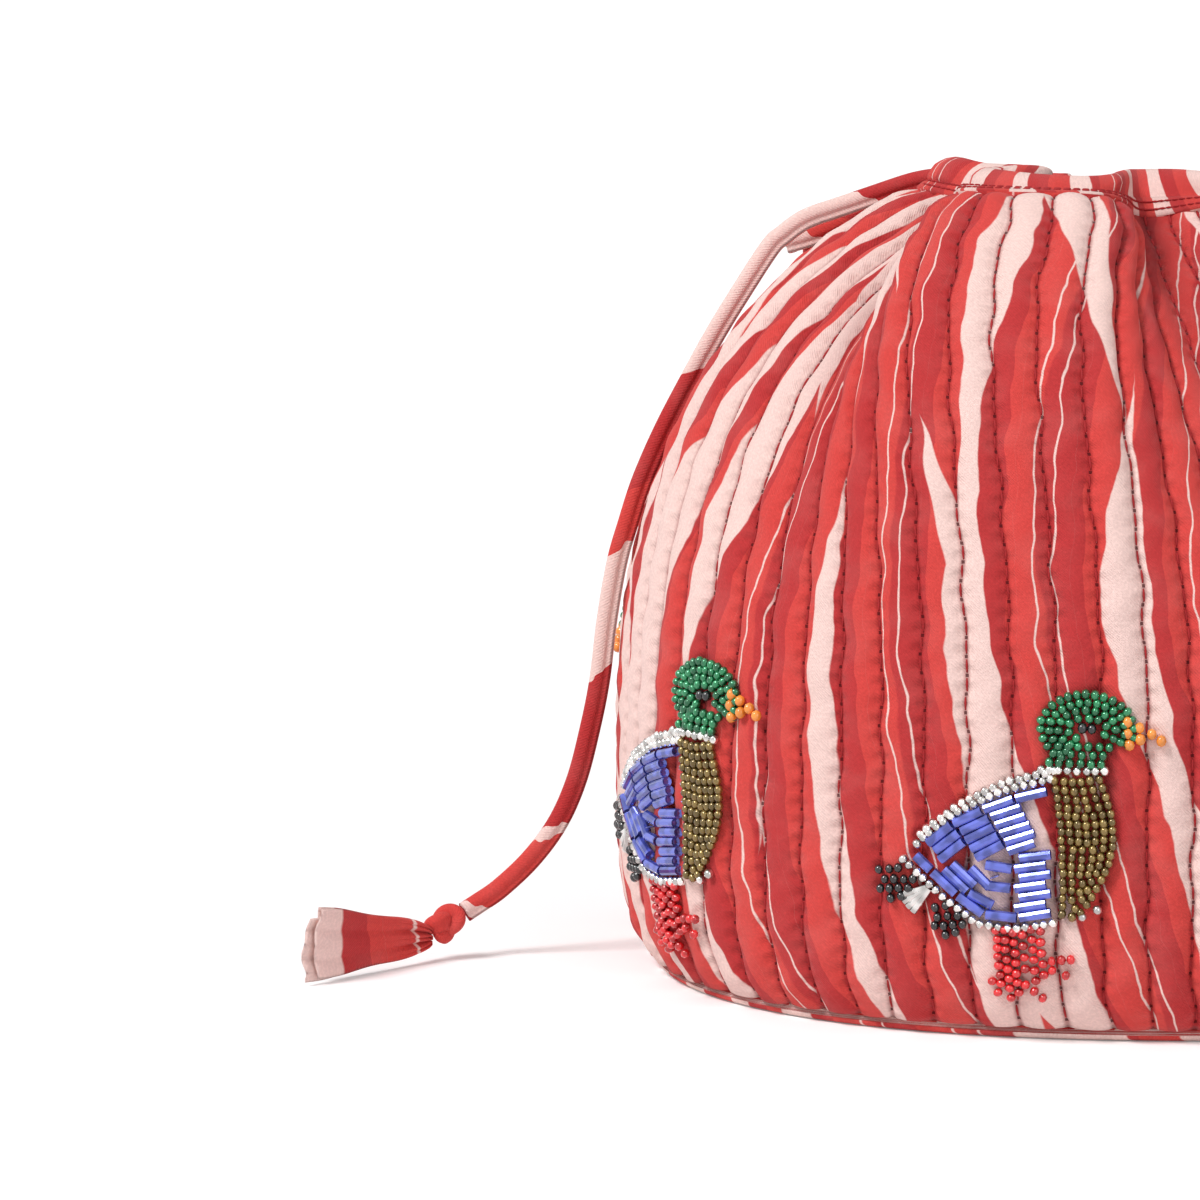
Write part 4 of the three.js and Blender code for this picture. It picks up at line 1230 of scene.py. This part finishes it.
def arc_route(centre, radii, first, last):
    """A stretch of an oval between two bearings in degrees."""
    angles = np.radians(np.linspace(first, last, 24))
    return np.column_stack([centre[0] + radii[0] * np.cos(angles), centre[1] + radii[1] * np.sin(angles)])


def bead_head(beader):
    centre = (14.2, 58.6)
    for radii in ((9.6, 7.2), (7.8, 5.5), (6.0, 3.9), (4.2, 2.4)):
        beader.string(arc_route(centre, radii, -28, 236))
    beader.string([(8.6, 53.4), (17.5, 53.2)])
    beader.string([(6.4, 51.6), (17, 51.5)])
    beader.string([(8, 55), (18.8, 54.8)])
    for x in (13.2, 15.2):
        beader.seed_bead(x, 58.8, (1, 0), 1, 1.1)


def bead_bill(beader):
    places = ((22.6, 60.2), (22.4, 57.8), (22.8, 55.4), (25, 59), (25.1, 56.6), (27.4, 57.8), (29.4, 56.4))
    for x, y in places:
        beader.seed_bead(x, y, (1, 0), 0, 1.18)


def bead_breast(beader):
    for t in np.linspace(0, 1, 17):
        swell = math.sin(math.pi * t)
        y = 48.2 - 28.4 * t
        left, right = 7.4 + 1.8 * t + 0.8 * swell, 16.6 - 3.5 * t + 4.6 * swell
        beader.string([(left, y - 0.5), ((left + right) / 2, y - 0.9), (right, y)], 0, 0.84)


WING_TOP = np.array([(6.2, 45.6), (-4, 42.8), (-14, 37.5), (-21.8, 30.7)])
WING_BOTTOM = np.array([(7.2, 19.8), (-1, 18.2), (-8.6, 19), (-21.8, 30.7)])


def apart(first, second):
    """The smallest distance between two short lines, by a few points of each."""
    steps = np.linspace(0, 1, 7)[:, None]
    a = np.array(first[0]) * (1 - steps) + np.array(first[1]) * steps
    b = np.array(second[0]) * (1 - steps) + np.array(second[1]) * steps
    return np.min(np.linalg.norm(a[:, None] - b[None, :], axis=2))


def wing_span(x):
    """The heights of the wing's lower and upper edges at a place along it."""
    return [np.interp(x, edge[::-1, 0], edge[::-1, 1]) for edge in (WING_BOTTOM, WING_TOP)]


def fill_wing(beader, laid, length):
    """Shorter tubes in the gaps that the long rows leave, leaning towards the wing's tip."""
    for x in np.arange(-17.5, 3.5, 0.8):
        lower, upper = wing_span(x)
        for y in np.arange(lower + 1.2, upper - 1.1, 0.6):
            share = (y - lower) / (upper - lower)
            slope = -0.75 + 1.2 * share
            reach = np.array([1, slope]) * 0.5 * length / math.hypot(1, slope)
            ends = [(x - reach[0], y - reach[1]), (x + reach[0], y + reach[1])]
            if all(apart(ends, other) > TUBE_SPACING for _, other in laid):
                laid.append((None, ends))
                beader.tube_bead(*ends)


def inward(edge, depth):
    """An edge of the wing moved sideways by a depth, as forty points. Its first end keeps its x."""
    steps = np.linspace(0, 1, 40)
    corners = np.linspace(0, 1, len(edge))
    line = np.column_stack([np.interp(steps, corners, edge[:, i]) for i in range(2)])
    heading = np.gradient(line, axis=0)
    heading /= np.linalg.norm(heading, axis=1)[:, None]
    return line + depth * np.column_stack([-heading[:, 1] * np.clip(2 * steps, 0, 1), heading[:, 0]])


def in_wing(point):
    """Whether a tube's end is clear of the wing's edges."""
    lower, upper = wing_span(point[0])
    return lower + 0.8 < point[1] < upper - 0.8


def bead_wing(beader):
    """Rows that follow the wing's upper and lower edges inwards until they meet."""
    length = bpy.context.scene.pouch_sizes.tube_bead_length / MM
    laid = []
    for row, (edge, side) in itertools.product(range(7), ((WING_TOP, 1), (WING_BOTTOM, -1))):
        route = inward(edge, side * TUBE_ROW_PITCH * row)
        arc = np.concatenate([[0], np.cumsum(np.linalg.norm(np.diff(route, axis=0), axis=1))])
        distance = 1.4 if row % 2 else 0.4
        while distance + 0.6 * length < arc[-1]:
            reach = min(distance + 0.94 * length, arc[-1] - 0.3)
            ends = [tuple(np.interp(d, arc, route[:, i]) for i in range(2)) for d in (distance, reach)]
            others = [other for of_row, other in laid if of_row != (row, side)]
            inside = row == 0 or (in_wing(ends[0]) and in_wing(ends[1]))
            if inside and all(apart(ends, other) > TUBE_SPACING for other in others):
                laid.append(((row, side), ends))
                beader.tube_bead(*ends)
                distance += 1.02 * length
            else:
                distance += 0.5
    fill_wing(beader, laid, 0.72 * length)
    for off in (2.6, 4.7):
        beader.string(WING_TOP + [0.35 * off - 0.5, off * 0.92], 1)
    beader.string(np.vstack([WING_BOTTOM[:3] + [0, -2.3], [[-15.6, 22], [-24.4, 29.5]]]), 1)
    beader.string([(4.4, 49.9), (17.8, 50)], 1)
    beader.string([(13.5, 19), (16.5, 20.6)], 1)


def bead_tail(beader):
    rows = ((-29.5, 26.8, 3), (-28.2, 24.8, 4), (-29.2, 22.8, 4), (-27, 20.9, 2),
            (-17.4, 19.6, 2), (-16.8, 17.7, 3), (-17.6, 15.8, 4), (-15.4, 14, 2))
    for x, y, count in rows:
        beader.string([(x, y), (x + 1.9 * (count - 1) + 0.3, y + 0.6)], 0, 0.9)
    for turn in (200, 212, 224, 236):
        heading = (math.cos(math.radians(turn)), math.sin(math.radians(turn)))
        start = (-18.4 + 0.5 * heading[0], 24 + 0.5 * heading[1])
        end = (start[0] + 6.4 * heading[0], start[1] + 6.4 * heading[1])
        beader.tube_bead(start, end, 1, 0.75)


def bead_legs(beader):
    strings = ((-4.6, 15.4, 4.2), (-2.8, 15.6, 1.2), (-1, 15.2, 2.4), (0.8, 14.8, 7.5), (2.7, 16, 5.2),
               (4.5, 15.6, 6.4))
    for x, top, foot in strings:
        beader.string([(x, top), (x + 0.4, foot)])
    beader.string([(-6, 4.6), (-5.2, 2.2)])
    beader.string([(0.9, 4), (4.2, 1.4)])
    beader.string([(6.8, 9.4), (10.8, 9.8)])
    beader.string([(6.8, 7.4), (9.4, 6.4)])


class POUCH_OT_ducks(bpy.types.Operator):
    """Sew the bead motifs round the belly"""

    bl_idname = "pouch.ducks"
    bl_label = "Bead motifs"

    def execute(self, context):
        colours = context.scene.pouch_colours
        green = bead_glass("green_beads", colours.green, metallic=0.45)
        orange = bead_glass("orange_beads", colours.orange, metallic=0.0, coat=0.5, vary=0.1)
        gold = bead_glass("gold_beads", colours.gold, metallic=0.6, vary=0.3)
        blue = bead_glass("blue_beads", colours.blue, metallic=0.55, vary=0.3)
        clear = bead_glass("clear_beads", colours.clear, roughness=0.08, metallic=0.9, vary=0.3)
        black = bead_glass("black_beads", colours.black, metallic=0.0, vary=0.1)
        red = bead_glass("red_beads", colours.leg_red, metallic=0.1, vary=0.3)
        parts = (
            ("head", bead_head, [green, black], "green_beads"),
            ("bill", bead_bill, [orange], "orange_beads"),
            ("breast", bead_breast, [gold], "gold_beads"),
            ("wing", bead_wing, [blue, clear], "blue_beads"),
            ("tail", bead_tail, [black, clear], "black_beads"),
            ("legs", bead_legs, [red], "red_beads"),
        )
        for motif in range(MOTIFS):
            for part, sewing, materials, slot in parts:
                beader = Beader(motif, context.scene.pouch_sizes.seed_bead_width / MM)
                sewing(beader)
                beader.piece(part, materials, slot)
        return {"FINISHED"}


# The stage


def add_camera():
    """The photograph's own view, level with its frame."""
    elevation = math.radians(CAMERA_ELEVATION)
    up = Vector((0, math.sin(elevation), math.cos(elevation)))
    back = Vector((0, -math.cos(elevation), math.sin(elevation)))
    middle = PHOTO_PIXELS / 2
    target = Vector((1, 0, 0)) * ((middle - ORIGIN_PIXEL[0]) / PIXELS_PER_MM)
    target += up * ((ORIGIN_PIXEL[1] - middle) / PIXELS_PER_MM)
    camera = bpy.data.cameras.new("camera")
    camera.sensor_width = FILM_WIDTH
    camera.lens = FILM_WIDTH * PIXELS_PER_MM * CAMERA_DISTANCE / PHOTO_PIXELS
    camera.clip_end = 50
    seen_by = bpy.data.objects.new("camera", camera)
    bpy.context.scene.collection.objects.link(seen_by)
    seen_by.location = (target + back * CAMERA_DISTANCE) * MM
    seen_by.rotation_euler = (math.pi / 2 - elevation, 0, 0)
    bpy.context.scene.camera = seen_by


def add_lamp(name, place, strength, softness):
    """A far, soft lamp that shines from a place towards the pouch and lights the whole floor alike."""
    lamp = bpy.data.lights.new(name, "SUN")
    lamp.energy = strength
    lamp.angle = math.radians(softness)
    holder = bpy.data.objects.new(name, lamp)
    bpy.context.scene.collection.objects.link(holder)
    holder.location = place
    holder.rotation_euler = (-Vector(place)).to_track_quat("-Z", "Y").to_euler()


def add_floor():
    """A pale floor that glows a little, so that it looks as light as the background."""
    bm = bmesh.new()
    bmesh.ops.create_grid(bm, x_segments=1, y_segments=1, size=8)
    mesh = bpy.data.meshes.new("floor")
    bm.to_mesh(mesh)
    bm.free()
    floor = bpy.data.objects.new("floor", mesh)
    bpy.context.scene.collection.objects.link(floor)
    material, nodes, shader = plain_material("pale_floor", 1.0)
    shader.inputs["Base Color"].default_value = opaque(bpy.context.scene.pouch_colours.floor)
    seen = nodes.node("ShaderNodeLightPath").outputs["Is Camera Ray"]
    nodes.link(nodes.math("MULTIPLY", seen, FLOOR_GLOW), shader.inputs["Emission Strength"])
    shader.inputs["Emission Color"].default_value = (1, 1, 1, 1)
    shader.inputs["Specular IOR Level"].default_value = 0.0
    mesh.materials.append(material)


def light_world():
    """A white background that lights the pouch less than it looks."""
    world = bpy.context.scene.world or bpy.data.worlds.new("studio")
    bpy.context.scene.world = world
    world.use_nodes = True
    world.node_tree.nodes.clear()
    nodes = Nodes(world.node_tree)
    path = nodes.node("ShaderNodeLightPath").outputs
    mirrored = nodes.math("MAXIMUM", path["Is Glossy Ray"], path["Is Transmission Ray"])
    seen = nodes.math("MAXIMUM", path["Is Camera Ray"], mirrored)
    strength = nodes.math("ADD", WORLD_LIGHT, nodes.math("MULTIPLY", seen, 1 - WORLD_LIGHT))
    background = nodes.node("ShaderNodeBackground")
    nodes.link(strength, background.inputs["Strength"])
    background.inputs["Color"].default_value = (1, 1, 1, 1)
    nodes.link(background.outputs[0], nodes.node("ShaderNodeOutputWorld").inputs["Surface"])


class POUCH_OT_stage(bpy.types.Operator):
    """Set the camera, lamps, floor and background"""

    bl_idname = "pouch.stage"
    bl_label = "Stage"

    def execute(self, context):
        context.scene.view_settings.view_transform = "Standard"
        add_camera()
        add_floor()
        add_lamp("key_lamp", (-1.3, -0.9, 1.9), strength=2.5, softness=20)
        add_lamp("fill_lamp", (1.3, -1.6, 0.9), strength=0.5, softness=40)
        light_world()
        return {"FINISHED"}


# Settings and panel


def length_property(label, text, value):
    return bpy.props.FloatProperty(
        name=label, description=text, default=value, min=0.0, precision=5, unit="LENGTH", subtype="DISTANCE"
    )


def colour_property(label, text, value):
    return bpy.props.FloatVectorProperty(
        name=label, description=text, default=value, min=0.0, max=1.0, size=3, subtype="COLOR"
    )


class PouchSizes(bpy.types.PropertyGroup):
    channel_puff: length_property("Channel puff", "How far a quilted channel stands out", 0.0021)
    stitch_pitch: length_property("Stitch pitch", "From one quilting stitch to the next", 0.0039)
    thread_radius: length_property("Thread radius", "Half the thickness of the thread", 0.00032)
    strip_width: length_property("Strip width", "Width of the drawstring's folded strip", 0.0046)
    seed_bead_width: length_property("Seed bead width", "Width of a round bead", 0.0021)
    tube_bead_length: length_property("Tube bead length", "Length of a tube bead", 0.007)


class PouchColours(bpy.types.PropertyGroup):
    red: colour_property("Red", "The print's lighter red", (0.69, 0.064, 0.056))
    dark_red: colour_property("Dark red", "The print's darker red", (0.53, 0.04, 0.042))
    pink: colour_property("Pink", "The print's pale pink", (0.92, 0.66, 0.61))
    thread: colour_property("Thread", "The sewing thread", (0.45, 0.012, 0.016))
    green: colour_property("Green beads", "Head beads", (0.012, 0.195, 0.074))
    orange: colour_property("Orange beads", "Bill beads", (0.87, 0.29, 0.04))
    gold: colour_property("Gold beads", "Breast beads", (0.2, 0.13, 0.03))
    blue: colour_property("Blue beads", "Wing tube beads", (0.11, 0.14, 0.55))
    clear: colour_property("Clear beads", "Silver-lined clear beads", (0.72, 0.7, 0.68))
    black: colour_property("Black beads", "Tail and eye beads", (0.008, 0.008, 0.01))
    leg_red: colour_property("Red beads", "Leg beads", (0.62, 0.01, 0.014))
    floor: colour_property("Floor", "The pale floor", (0.93, 0.93, 0.93))


class POUCH_PT_panel(bpy.types.Panel):
    bl_label = "Quilted pouch"
    bl_space_type = "VIEW_3D"
    bl_region_type = "UI"
    bl_category = "Pouch"

    def draw(self, context):
        for settings in (context.scene.pouch_sizes, context.scene.pouch_colours):
            for name in settings.__annotations__:
                self.layout.prop(settings, name)
        for operator in OPERATORS:
            self.layout.operator(operator.bl_idname)


OPERATORS = (
    POUCH_OT_side_wall,
    POUCH_OT_base,
    POUCH_OT_casing,
    POUCH_OT_stitching,
    POUCH_OT_drawstring,
    POUCH_OT_ducks,
    POUCH_OT_stage,
)
CLASSES = (PouchSizes, PouchColours, *OPERATORS, POUCH_PT_panel)


def register():
    for cls in CLASSES:
        bpy.utils.register_class(cls)
    bpy.types.Scene.pouch_sizes = bpy.props.PointerProperty(type=PouchSizes)
    bpy.types.Scene.pouch_colours = bpy.props.PointerProperty(type=PouchColours)


def unregister():
    del bpy.types.Scene.pouch_colours
    del bpy.types.Scene.pouch_sizes
    for cls in reversed(CLASSES):
        bpy.utils.unregister_class(cls)


def main():
    register()
    bpy.ops.pouch.side_wall()
    bpy.ops.pouch.base()
    bpy.ops.pouch.casing()
    bpy.ops.pouch.stitching()
    bpy.ops.pouch.drawstring()
    bpy.ops.pouch.ducks()
    bpy.ops.pouch.stage()


if __name__ == "__main__":
    main()
